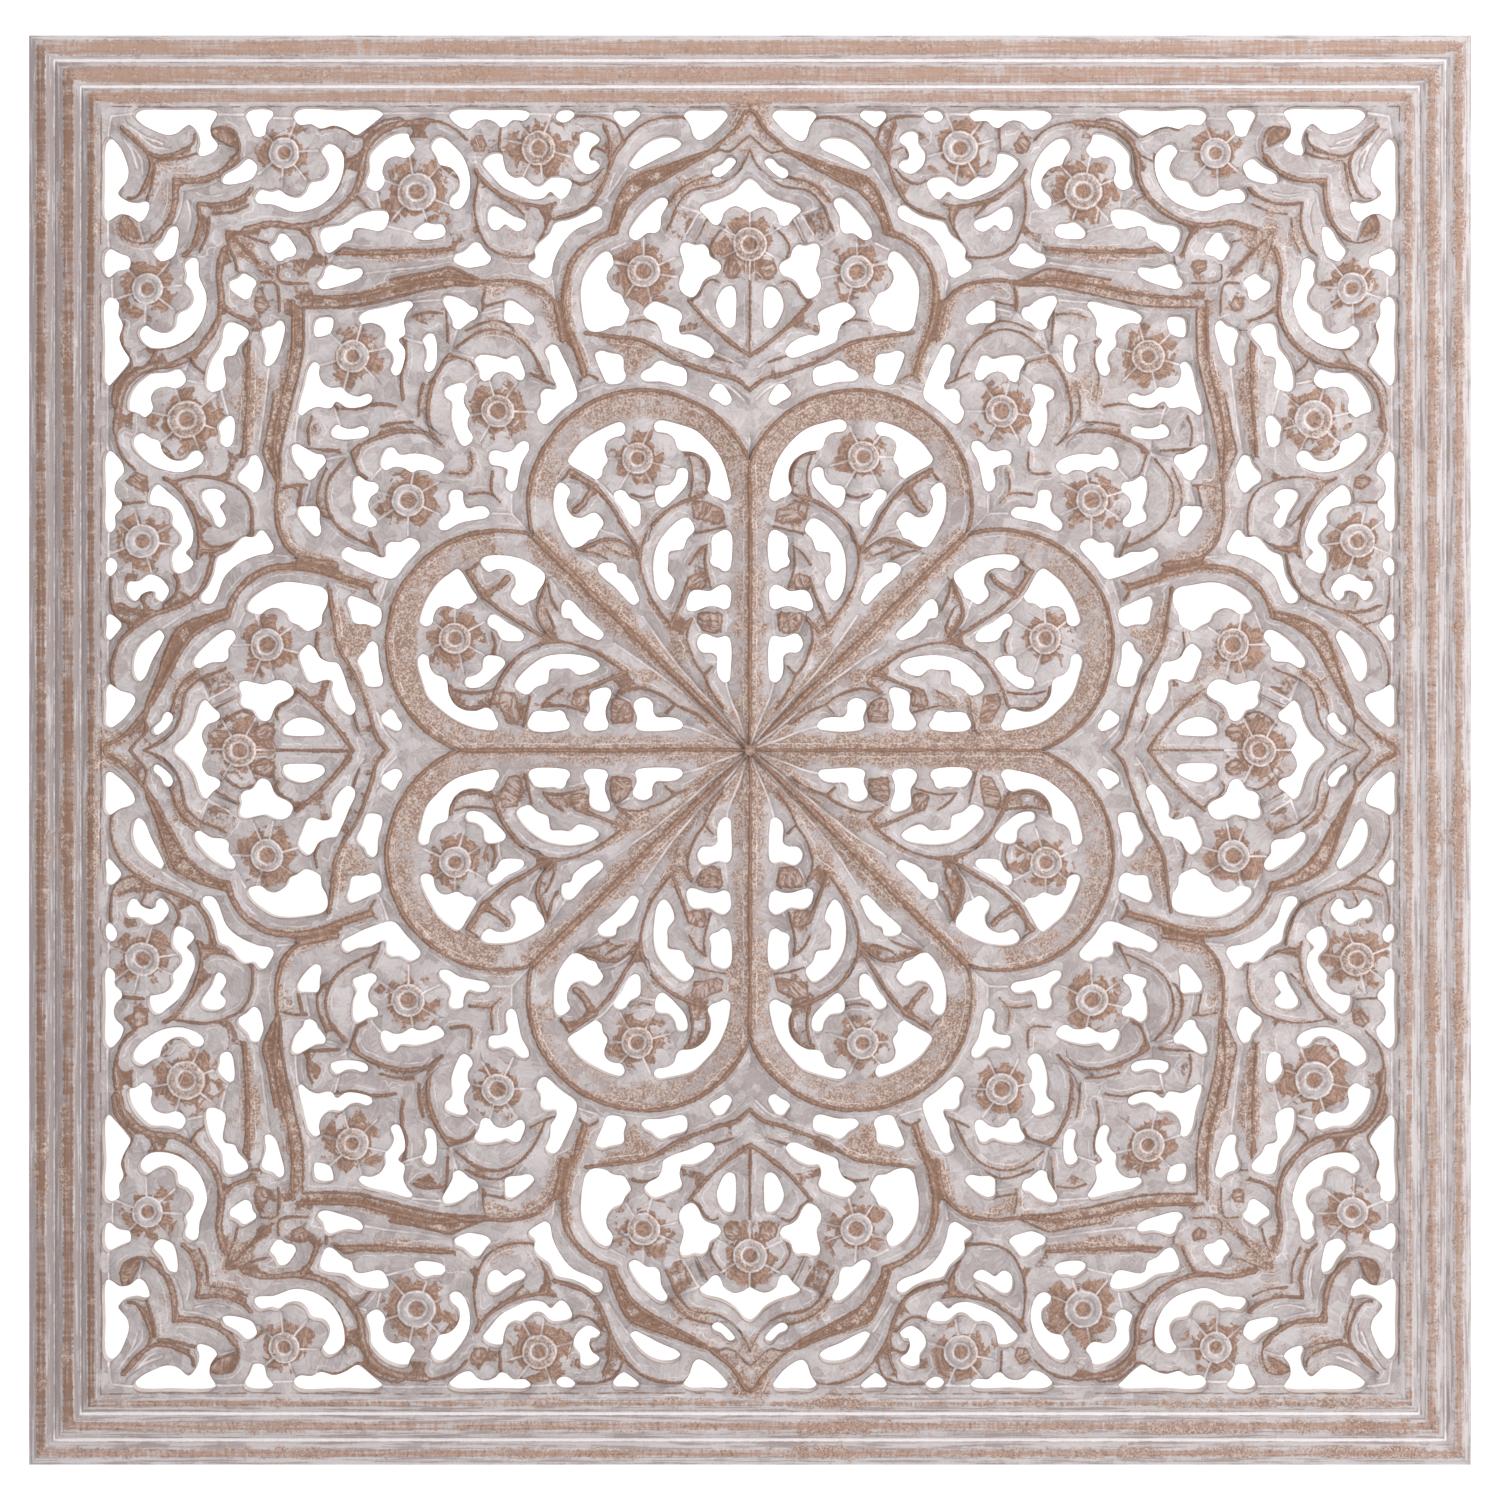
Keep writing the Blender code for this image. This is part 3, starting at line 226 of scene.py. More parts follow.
# Crests: how wide each is rubbed bare, then its points
CRESTS: Tuple[Tuple[Wear, Line], ...] = (
    # the pointed dome, its outer band
    (Wear.PLAIN, ((0, 409), (3, 408), (8, 399), (15, 391.5), (30, 379.5), (50, 368), (69, 357), (77, 348.5),
                  (82, 340), (85.5, 331))),
    (Wear.BROAD, ((85.5, 331), (95, 328), (104, 322), (111, 314), (116, 304), (117.5, 291), (116.8, 280),
                  (114, 268), (109, 255), (104.5, 240))),
    (Wear.PLAIN, ((30, 381.5), (44, 376), (58, 371), (68, 367.5), (76, 363), (82, 354), (86, 343),
                  (89, 332))),
    (Wear.FINE, ((96, 237), (100, 239.5), (104, 239.8), (107.5, 236))),
    (Wear.FINE, ((0, 384), (4, 375), (11, 366.5), (20, 361), (37, 357.5), (43, 352), (47, 346.5), (50, 338),
                 (53, 332))),
    (Wear.FINE, ((24, 367), (36, 363.5), (44, 358.5), (50, 351))),
    (Wear.FINE, ((0, 393), (5, 389), (9, 385), (14, 382.5), (20, 383.5), (24, 382))),
    # leaves and stems inside the dome
    (Wear.FINE, ((0, 252), (0, 300))),
    (Wear.PLAIN, ((0, 252), (10, 258.5), (19, 266), (27, 273.5), (34, 281.5), (39, 287.5))),
    (Wear.PLAIN, ((0, 229.5), (8, 236.5), (20, 240), (35, 245), (48, 250.5), (60, 258), (70, 262),
                  (82, 263.8), (95, 265.5), (104, 267))),
    (Wear.FINE, ((20, 299), (24, 300.5), (29, 297), (32, 291), (36, 288))),
    (Wear.FINE, ((16, 334), (21, 329), (25, 321), (23, 315))),
    (Wear.FINE, ((27, 338), (31, 331), (34.5, 325))),
    (Wear.FINE, ((12, 248), (24, 252), (38, 256), (50, 260.5))),
    (Wear.FINE, ((58, 272), (66, 275), (75, 274))),
    # the shield
    (Wear.PLAIN, ((123, 286), (130, 293), (138, 297.5), (150, 299.8), (160, 300), (170, 299), (182, 300),
                  (195, 301), (210, 299), (225, 296), (240, 292.3), (255, 290), (287, 289.5))),
    (Wear.FINE, ((172, 297.3), (190, 296.8), (205, 294), (220, 290.8), (235, 287), (250, 284),
                 (262, 283), (283, 283.3))),
    (Wear.FINE, ((172, 300.5), (180, 304), (190, 308), (200, 306), (214, 303.2), (228, 300.5))),
    (Wear.BROAD, ((123, 286), (120, 272), (118.5, 262))),
    (Wear.FINE, ((130, 238), (134, 247), (139, 256), (146, 263.5), (155, 267.8), (164, 268.7),
                 (173, 266.5), (180, 261.5), (186, 256.5))),
    (Wear.FINE, ((124, 234), (130, 236.5), (139, 241))),
    (Wear.PLAIN, ((190, 252.5), (196.5, 243), (201.5, 231), (203.8, 219), (203, 208), (199.5, 199.5),
                  (195, 194.5))),
    (Wear.FINE, ((174, 243), (176.5, 247.5), (182, 249.7), (190, 252.3))),
    (Wear.FINE, ((206.5, 234), (209, 223), (209.5, 213))),
    (Wear.FINE, ((219.5, 224), (220.8, 232), (220.5, 241), (218, 248), (218.5, 258))),
    (Wear.FINE, ((195, 279), (205, 279.5), (213, 277))),
    (Wear.FINE, ((193, 287), (192, 274), (191, 260))),
    (Wear.FINE, ((167.5, 295), (169, 288), (169, 281))),
    (Wear.FINE, ((156, 286.5), (162, 285), (169, 283.5))),
    (Wear.FINE, ((176.5, 190), (176, 180), (178, 176))),
    (Wear.FINE, ((158, 158), (162, 161), (164, 167), (163, 178))),
    (Wear.FINE, ((150, 270), (158, 274), (168, 273), (180, 268))),
    # the scrolls of the spandrel
    (Wear.FINE, ((40, 404), (50, 404.8), (60, 403), (70, 398.5), (76, 393), (80, 388))),
    (Wear.PLAIN, ((80, 388), (85.5, 380), (89.5, 370), (93, 360), (98.5, 350.5), (106, 345.2), (115, 341.8),
                  (124, 339.5))),
    (Wear.FINE, ((80.5, 388), (82, 395), (85, 400.5), (90, 403), (100, 404.7), (109, 404.5))),
    (Wear.PLAIN, ((92, 398), (89.5, 392), (88, 385), (88.5, 378))),
    (Wear.FINE, ((92.5, 383), (98, 384.8), (101, 380))),
    (Wear.FINE, ((93, 371), (99, 364), (107, 361.5), (112, 364))),
    (Wear.PLAIN, ((122.5, 349), (130, 347.5), (142, 349), (153, 352.5), (163, 358.5), (171, 366),
                  (174, 371))),
    (Wear.FINE, ((126.5, 346), (127, 338), (131, 330), (137, 317))),
    (Wear.FINE, ((137, 315.5), (150, 315), (160, 317.5), (167, 323), (172, 333))),
    (Wear.FINE, ((172, 333), (174.3, 344), (174, 355), (172, 365))),
    (Wear.FINE, ((158, 399), (158.8, 384))),
    (Wear.FINE, ((143, 342), (150, 349), (158, 353.5))),
    (Wear.FINE, ((180, 390), (186, 396), (195, 400.5), (205, 402))),
    (Wear.BROAD, ((205, 401.5), (217, 400.5), (228, 398), (236, 393.5), (242.5, 386), (245.5, 376),
                  (246, 367), (249.5, 358), (256, 349), (266, 341), (278, 336), (290, 334.8),
                  (305, 336.3), (320, 332.5))),
    (Wear.FINE, ((222, 403.5), (232, 402), (240, 397), (246, 391.5))),
    (Wear.FINE, ((250, 392), (256, 397), (264, 398.3), (272, 396.5))),
    (Wear.FINE, ((256.5, 381), (256.5, 371), (259.5, 362), (265, 355), (272, 350), (281, 346.5))),
    (Wear.FINE, ((249.5, 379), (256, 375.5))),
    (Wear.FINE, ((188, 376), (184, 362), (185, 348))),
    (Wear.FINE, ((240, 345), (246, 352), (252, 354))),
    (Wear.PLAIN, ((188, 320.5), (200, 319.8), (215, 318.8), (235, 318), (261, 317.8))),
    (Wear.FINE, ((268.5, 315), (268.8, 309))),
    (Wear.PLAIN, ((274.5, 318), (276.5, 324), (279.5, 329.5), (284, 334))),
    (Wear.FINE, ((280, 298.5), (290, 298.3), (298, 300.5), (298.5, 309.5))),
    (Wear.FINE, ((303, 303), (312, 312.6), (320, 320.5), (331, 331))),
    (Wear.FINE, ((306, 324.5), (313, 326), (321, 329.5), (330, 331))),
    # the leaves of the corner
    (Wear.FINE, ((342, 396), (335, 398.2), (328, 396.5), (325, 391), (324, 384), (326, 379))),
    (Wear.BROAD, ((326, 379), (332, 372), (339, 367.5), (346, 365), (353, 364), (364, 363.8))),
    (Wear.FINE, ((342, 395), (337, 390.5), (328, 386.5))),
    (Wear.FINE, ((352.5, 394), (353, 389), (357, 384.5))),
    (Wear.PLAIN, ((357, 384.5), (366, 380.8), (376, 379.5), (383, 383), (389, 390), (398, 398))),
    (Wear.FINE, ((351, 382.3), (358, 379.2), (366, 377.6), (375, 376.3))),
    (Wear.PLAIN, ((316, 359), (320, 354.5), (328, 350.5), (338, 348.5), (349, 349.5))),
    (Wear.FINE, ((318, 348.5), (328, 344), (340, 342.6))),
    # stems and leaves inside a petal ring
    (Wear.PLAIN, ((30, 163), (38, 160.5), (47, 156.3), (56, 149.8), (63, 141.5), (68, 131), (69.5, 122))),
    (Wear.FINE, ((69.5, 122), (68.3, 113), (65, 103), (61, 95), (55, 86.5), (49, 79))),
    (Wear.PLAIN, ((69.5, 126), (74.5, 134.5), (79.5, 142), (84, 150), (90, 159), (98, 168))),
    (Wear.BROAD, ((98, 168.3), (106, 173), (114, 178.5))),
    (Wear.FINE, ((114, 179), (117, 175), (119.5, 172.5))),
    (Wear.BROAD, ((101, 166), (104, 160.5), (107.5, 156), (111, 153.5))),
    (Wear.PLAIN, ((73, 126), (78, 131), (85, 134.3), (93, 134.3), (100, 131.5), (109, 129))),
    (Wear.FINE, ((78, 124), (84, 126), (90, 129))),
    (Wear.FINE, ((90, 122), (98, 126), (106, 127.5))),
    (Wear.FINE, ((17, 27), (22, 33.5), (26, 41), (29, 48), (33.5, 54), (37, 62), (39.5, 70))),
    (Wear.FINE, ((39.5, 70), (38.5, 78), (36, 84))),
    (Wear.PLAIN, ((36.5, 83.5), (40, 79.5), (43.5, 74.5))),
    (Wear.FINE, ((28.5, 48), (23.5, 53.5))),
    (Wear.FINE, ((15, 142.8), (25, 140.8), (34, 138.5))),
    (Wear.FINE, ((27.5, 131), (33, 126.5), (38, 118.5))),
    (Wear.FINE, ((28, 129), (28.5, 120), (27, 113), (24.5, 104))),
    (Wear.PLAIN, ((27, 165), (27, 178), (30, 185), (36, 189.5), (41, 190))),
    (Wear.FINE, ((37.5, 164), (36.3, 172), (36.5, 180), (38.5, 187))),
    (Wear.PLAIN, ((37.5, 110), (41, 100), (44.3, 92), (47, 85), (49.5, 79))),
    (Wear.FINE, ((19.5, 88), (19.5, 79))),
    (Wear.FINE, ((24.5, 87.5), (24.5, 79))),
    (Wear.FINE, ((29.3, 87), (29, 80))),
    (Wear.FINE, ((60, 163.5), (67, 161.5), (75, 163.5))),
)

# Cuts between leaves, as open lines
GROOVES: Tuple[Line, ...] = (
    ((138, 138), (150, 150)), ((0, 185), (0, 200)), ((151, 152), (151, 163)),
    ((42, 407), (70, 407)), ((87, 407), (111, 407)), ((123.5, 406.5), (139, 406.5)),
    ((192, 407), (233, 407)),
    ((290, 404), (302, 404)), ((321.5, 406.5), (338, 406.5)), ((391.5, 407), (405, 405)),
    ((190, 312), (205, 309.5), (225, 307), (244, 305)), ((186, 268), (189, 255)),
    ((175, 250.5), (190, 254.8)), ((173, 240), (180, 234)), ((32, 343), (45, 348)), ((79, 324), (88, 320)),
    ((78, 311), (87, 311)), ((65, 134), (63, 143)), ((76, 131.5), (84, 137), (95, 141)),
    ((4, 5.5), (14, 18), (20, 25), (40, 47.5), (55, 67), (68, 86)),
    ((1.6, 5), (7, 20), (13, 35), (16.5, 50)),
    ((35, 84), (31, 76)), ((195, 288), (214, 286.5)),
    ((338, 364), (345, 361), (357, 359)), ((326, 384), (337, 387)), ((372, 388), (383, 392), (395, 400)),
    ((368, 384.5), (378, 386), (387, 393)), ((332, 356), (341, 354.5), (350, 356)),
    ((236, 356), (234, 347)), ((243, 358), (250, 355)), ((214, 331.5), (230, 335.5)),
    ((156, 282.5), (170, 279)), ((123.5, 289), (125, 300)), ((95, 234), (108, 229.5)),
    ((96, 117), (109, 126)), ((59, 160), (70, 158)), ((28, 340), (35, 325)), ((33, 342), (40, 330)),
    ((208, 260), (219, 263)), ((78, 372), (84, 363), (90, 354)), ((86, 160), (92, 168), (98, 173)),
    ((75, 142), (81, 152), (87, 162)), ((197, 201), (204, 208), (208, 216)),
    ((6, 372), (12, 366), (20, 364)),
    ((5, 245), (14, 251), (22, 254)), ((4, 224), (14, 233), (24, 236.5)), ((120, 96), (131, 107)),
)

# Flats rubbed right through to the wood, by their corners
FACETS: Tuple[Line, ...] = (
    ((17, 154), (30, 160), (37.5, 158), (36, 148), (20, 144.5), (16, 147)),
    ((28, 113), (33, 114.5), (38, 110), (40.5, 104), (36, 101.5), (30, 101), (26, 105)),
    ((16.5, 87), (26, 88.5), (33, 87.5), (34, 81), (30, 76.5), (25, 73.8), (18, 75)),
    ((165, 381.5), (166, 387), (170, 393), (172.5, 396.5), (176, 390.5), (178, 388.5), (175, 382)),
    ((125.5, 348.5), (131, 348), (134, 346), (130.5, 341), (130, 334), (128, 332), (126.8, 338)),
    ((171, 333), (174.5, 336.5), (178, 331.5), (185, 330), (191, 331), (188, 327), (188.5, 323),
     (180, 326), (174, 329)),
    ((230, 320.5), (246, 320), (257, 322.3), (263, 317.5), (250, 317), (232, 316)),
    ((276, 312), (283, 314.5), (290, 314), (296.5, 310.5), (290, 307), (284, 304), (281, 302), (281, 306)),
    ((303.5, 305), (307, 308), (310, 312.5), (306, 312), (302, 308)),
    ((341, 397.5), (342, 394), (337, 390), (328, 386), (326, 389), (328, 395.5), (334, 398)),
    ((355, 365.5), (365, 366), (366, 361.5), (362, 360), (358, 362)),
    ((35, 342), (46, 346.5), (46, 340), (41, 339), (42, 330), (38, 330)),
    ((42.5, 330), (50, 334), (48, 327.5), (43.5, 326)),
    ((5, 312), (14.5, 315), (17, 308), (18, 303), (12, 300.5), (6, 302)),
    ((27, 271), (35, 273), (43, 272), (44, 267.5), (40, 268), (32, 270)),
    ((205, 391.5), (207, 396), (213, 396), (216, 391.5)),
    ((201, 274.5), (205, 276.5), (210, 274), (204, 271.5)),
    ((217, 262), (221, 263.5), (219.5, 257)), ((279, 334), (286, 334.3), (283, 330), (281, 331)),
    ((40, 268), (44, 272), (45, 266.5)), ((150, 234), (154, 238), (157, 234), (153, 231)),
    ((191, 253), (195, 249), (191.5, 247), (186, 249.5)), ((104, 391), (108, 396), (113, 394), (112, 388)),
    ((188, 379), (196, 373), (191, 368), (186, 372)),
)

# Wide bands rubbed until they are speckled, by their corners
SPECKLED: Tuple[Line, ...] = (
    ((172, 299), (190, 307), (215, 303), (240, 296), (262, 290), (280, 289.5), (280, 284.5), (262, 284),
     (240, 287.5), (215, 293), (190, 297.5)),
    ((186, 321), (205, 320.5), (240, 320), (262, 318), (250, 316), (232, 310), (215, 312), (190, 314.5)),
    ((58, 256), (68, 261.5), (95, 265), (96, 258), (81, 253), (79.5, 241), (70, 240), (66, 247),
     (60, 250.5)),
    ((30, 382), (45, 377), (58, 373), (72, 371), (80, 364), (83, 352), (88, 338), (89, 331), (85, 331),
     (82, 341), (77, 349), (69, 357.5), (50, 368), (30, 380)),
    ((0, 411), (12, 411), (14, 404), (10, 397), (6, 394), (0, 400)),
    ((122, 286), (134, 296), (150, 299), (160, 297), (168, 294), (160, 291), (146, 293), (134, 288),
     (128, 276), (124, 262), (118, 262), (119, 272)),
    ((104, 238), (100, 249), (107, 263), (112, 275), (113, 290), (111, 302), (116, 304), (120, 290),
     (120, 276), (114, 258), (109, 246)),
    ((38, 66), (42, 70), (48, 80), (60, 92), (64, 100), (67, 97), (60, 86), (50, 72), (40, 58)),
    ((22, 364), (30, 362.5), (42, 357), (48, 350), (53, 344), (54, 350), (46, 360), (34, 366)),
    ((300, 304), (316, 322), (328, 331), (334, 334), (330, 330)),
)


@dataclass(frozen=True)
class Flower:
    """A five or six petalled flower: centre, radius of its ring and of its pit, angles of its cuts."""

    a: float
    b: float
    ring: float
    pit: float
    cuts: Tuple[float, ...]


FLOWERS: Tuple[Flower, ...] = (
    Flower(71.5, 187, 9.2, 5.2, (0, 52, 112, 195, 240, 300)),
    Flower(159.5, 216.5, 9.5, 6, (180, 122, 75, 350, 300, 245)),
    Flower(67.5, 306, 9.5, 6, (20, 90, 157, 190, 255, 305)),
    Flower(133.5, 384.5, 10, 5.5, (15, 52, 110, 195, 262, 300)),
    Flower(211, 357, 11, 6, (20, 78, 130, 202, 250, 312)),
    Flower(295, 381.5, 9, 5, (45, 108, 175, 230, 275, 322)),
    Flower(0, 323, 9.8, 5.6, (90, 30, -25, -90)),
    Flower(252, 252, 9.5, 5, (45, 105, 165, 225)),
)
PETAL_CENTRE: Pair = (67.5, 157.0)
PETAL_CREST_RADIUS = 73.0


def closed_curve(points: Line, steps: int = 12) -> np.ndarray:
    """Smooth closed curve through the points.

    Args:
        points: the points it passes through.
        steps: how many pieces each span is cut into.

    Returns:
        The points of the curve, one row each.
    """
    knots = np.array(points, float)
    return np.vstack([_span(knots, i, steps, True) for i in range(len(knots))])


def open_curve(points: Line, steps: int = 12) -> np.ndarray:
    """Smooth open curve through the points, with its two end points kept.

    Args:
        points: the points it passes through.
        steps: how many pieces each span is cut into.

    Returns:
        The points of the curve, one row each.
    """
    knots = np.array(points, float)
    if len(knots) > 2:
        knots = np.vstack([2 * knots[0] - knots[1], knots, 2 * knots[-1] - knots[-2]])
        parts = [_span(knots, i, steps, False) for i in range(1, len(knots) - 2)]
        return np.vstack(parts + [knots[-2:-1]])
    return knots[0] + (knots[1] - knots[0]) * np.linspace(0, 1, steps + 1)[:, None]


def _span(knots: np.ndarray, i: int, steps: int, is_closed: bool) -> np.ndarray:
    """One span of a centripetal curve, without its last point.

    Args:
        knots: all the points of the curve.
        i: the number of the point that the span starts from.
        steps: how many pieces the span is cut into.
        is_closed: whether the last point leads back to the first.

    Returns:
        The points of the span.
    """
    count = len(knots)
    wanted = [(i + k) % count if is_closed else i + k for k in (-1, 0, 1, 2)]
    before, start, end, after = knots[wanted]
    first, span, last = (math.sqrt(math.dist(*pair)) for pair in
                         ((before, start), (start, end), (end, after)))
    lean_out = span * ((start - before) / first - (end - before) / (first + span)
                       + (end - start) / span)
    lean_in = span * ((end - start) / span - (after - start) / (span + last) + (after - end) / last)
    t = np.linspace(0, 1, steps, endpoint=False)[:, None]
    return ((2 * t ** 3 - 3 * t ** 2 + 1) * start + (t ** 3 - 2 * t ** 2 + t) * lean_out
            + (3 * t ** 2 - 2 * t ** 3) * end + (t ** 3 - t ** 2) * lean_in)


def spaced(curve: np.ndarray, shortest: float, longest: float, is_closed: bool = False) -> np.ndarray:
    """The curve with fewer points: close together in its bends, further apart on its straights.

    Args:
        curve: the points of the curve.
        shortest: least distance between points, in millimetres.
        longest: greatest distance between points, in millimetres.
        is_closed: whether the last point leads back to the first.

    Returns:
        The points that stand for the curve.
    """
    ring = np.vstack([curve, curve[:1]]) if is_closed else curve
    steps = np.diff(ring, axis=0)
    lengths = np.hypot(*steps.T)
    ring, steps, lengths = (ring[np.append(True, lengths > 1e-6)], steps[lengths > 1e-6],
                            lengths[lengths > 1e-6])
    heading = np.unwrap(np.arctan2(steps[:, 1], steps[:, 0]))
    middles = np.cumsum(lengths) - lengths / 2
    bend = np.abs(np.gradient(heading, middles)) if len(heading) > 1 else np.zeros(1)
    bend = np.convolve(np.pad(bend, 3, "wrap" if is_closed else "edge"), np.ones(7) / 7, "valid")
    density = np.clip(np.sqrt(bend / 0.5), 1 / longest, 1 / shortest)
    travelled = np.append(0, np.cumsum(density * lengths))
    count = max(math.ceil(travelled[-1]), 1)
    wanted = np.linspace(0, travelled[-1], count + 1)
    places = np.stack([np.interp(wanted, travelled, ring[:, k]) for k in (0, 1)], 1)
    return places[:-1] if is_closed else places


def distance_to(points: np.ndarray, starts: np.ndarray, ends: np.ndarray) -> np.ndarray:
    """Distance from each point to the nearest of some straight spans.

    Args:
        points: the points, one row each.
        starts: where each span starts.
        ends: where each span ends.

    Returns:
        The distances.
    """
    spans = ends - starts
    squares = np.maximum((spans * spans).sum(1), 1e-12)
    nearest = np.empty(len(points))
    for low in range(0, len(points), BATCH):
        away = points[low:low + BATCH, None] - starts
        share = np.clip((away * spans).sum(2) / squares, 0, 1)
        gap = away - share[..., None] * spans
        nearest[low:low + BATCH] = np.sqrt((gap * gap).sum(2).min(1))
    return nearest


def spans_of(lines: Iterable[np.ndarray], is_closed: bool = False) -> Tuple[np.ndarray, np.ndarray]:
    """Starts and ends of all the straight spans of some lines."""
    lines = list(lines)
    if is_closed:
        return np.vstack(lines), np.vstack([np.roll(line, -1, axis=0) for line in lines])
    return np.vstack([line[:-1] for line in lines]), np.vstack([line[1:] for line in lines])


def inside(points: np.ndarray, outline: np.ndarray) -> np.ndarray:
    """Which of the points lie inside a closed outline."""
    low, high = outline.min(0), outline.max(0)
    found = ((points > low) & (points < high)).all(1)
    near = points[found]
    ends = np.roll(outline, -1, axis=0)
    crossing = (outline[:, 1] > near[:, 1:]) != (ends[:, 1] > near[:, 1:])
    rise = np.where(ends[:, 1] == outline[:, 1], 1, ends[:, 1] - outline[:, 1])
    across = outline[:, 0] + (near[:, 1:] - outline[:, 1]) / rise * (ends[:, 0] - outline[:, 0])
    found[found] = (crossing & (across > near[:, :1])).sum(1) % 2 == 1
    return found


def anticlockwise(outline: np.ndarray) -> np.ndarray:
    """The outline, turned round if it runs clockwise."""
    ahead = np.roll(outline, -1, axis=0)
    doubled = (outline[:, 0] * ahead[:, 1] - ahead[:, 0] * outline[:, 1]).sum()
    return outline if doubled > 0 else outline[::-1]


def around(centre: Pair, radius: float, angles: np.ndarray) -> np.ndarray:
    """Points on a circle, at the given angles."""
    return np.stack([centre[0] + radius * np.cos(angles), centre[1] + radius * np.sin(angles)], 1)


def softened(value: np.ndarray, low: float, high: float) -> np.ndarray:
    """Smooth step from 0 at low to 1 at high."""
    t = np.clip((value - low) / (high - low), 0, 1)
    return t * t * (3 - 2 * t)


@dataclass
class Pattern:
    """The lines of one sector: window outlines, crests, cuts and flowers, as points."""

    wall_step: Pair = (1.5, 3.6)
    crest_step: Pair = (1.8, 3.3)
    groove_step: Pair = (1.5, 3.2)
    facet_step: float = 3.2
    spoke_end: Pair = (0, 184.8)
    oblique_end: Pair = (138, 138)
    cut_reach: Pair = (0.8, 12.5)
    windows: List[np.ndarray] = field(default_factory=list)
    halves: List[np.ndarray] = field(default_factory=list)
    crests: List[np.ndarray] = field(default_factory=list)
    widths: List[float] = field(default_factory=list)
    grooves: List[np.ndarray] = field(default_factory=list)
    cuts: List[np.ndarray] = field(default_factory=list)
    facets: List[np.ndarray] = field(default_factory=list)
    speckled: List[np.ndarray] = field(default_factory=list)

    def lay_out(self) -> None:
        """Works out every line of the sector."""
        for table in (PETAL_WINDOWS, SHIELD_WINDOWS, DOME_WINDOWS, SPANDREL_WINDOWS):
            for outline in table:
                self.windows.append(spaced(closed_curve(outline), *self.wall_step, True))
        for table, mirror in ((AXIS_WINDOWS, self.over_axis), (DIAGONAL_WINDOWS, self.over_diagonal)):
            for outline in table:
                half = np.array(outline, float)
                curve = closed_curve(np.vstack([half, mirror(half)[-2:0:-1]]))
                self.halves.append(spaced(curve[:len(curve) // 2 + 1], *self.wall_step))
        self.add_crest(self.ring(), Wear.PLAIN)
        self.add_crest(np.linspace((0, 0), self.spoke_end, 75), Wear.PLAIN)
        self.add_crest(np.linspace((0, 0), self.oblique_end, 75), Wear.BROAD)
        for wear, line in CRESTS:
            self.add_crest(open_curve(line), wear)
        for line in GROOVES:
            self.grooves.append(spaced(open_curve(line), *self.groove_step))
        for flower in FLOWERS:
            self.cuts += self.flower_cuts(flower)
        self.facets = [self.polygon(corners) for corners in FACETS]
        self.speckled = [self.polygon(corners) for corners in SPECKLED]

    def polygon(self, corners: Line) -> np.ndarray:
        """The closed outline with these corners, as points no more than a step apart."""
        knots = np.array(corners + corners[:1], float)
        sides = zip(knots, knots[1:])
        return np.vstack([np.linspace(start, end, max(round(math.dist(start, end) / self.facet_step), 1),
                                      endpoint=False) for start, end in sides])

    def add_crest(self, curve: np.ndarray, wear: Wear) -> None:
        """Adds a crest that is rubbed bare to the given width."""
        self.crests.append(spaced(curve, *self.crest_step))
        self.widths.append(wear.value)

    @staticmethod
    def over_axis(points: np.ndarray) -> np.ndarray:
        """The points mirrored in the vertical axis."""
        return points * (-1, 1)

    @staticmethod
    def over_diagonal(points: np.ndarray) -> np.ndarray:
        """The points mirrored in the diagonal."""
        return points[:, ::-1]

    @staticmethod
    def ring() -> np.ndarray:
        """The crest of a petal ring, from the axis round to the diagonal."""
        a, b = PETAL_CENTRE
        start = math.atan2(math.sqrt(PETAL_CREST_RADIUS ** 2 - a ** 2), -a)
        end = math.pi / 4 - math.asin((b - a) / math.sqrt(2) / PETAL_CREST_RADIUS)
        return around(PETAL_CENTRE, PETAL_CREST_RADIUS, np.linspace(start, end, 120))

    def flower_cuts(self, flower: Flower) -> List[np.ndarray]:
        """The cuts between the petals of a flower, running out from its ring."""
        cuts = []
        for angle in np.radians(flower.cuts):
            way = np.array((math.cos(angle), math.sin(angle)))
            reach = np.linspace(*(flower.ring + np.array(self.cut_reach)), 5)[:, None]
            cut = (flower.a, flower.b) + reach * way
            if (cut[:, 0] > -0.01).all() and (cut[:, 0] < cut[:, 1] + 0.01).all():
                cuts.append(np.abs(cut))
        return cuts


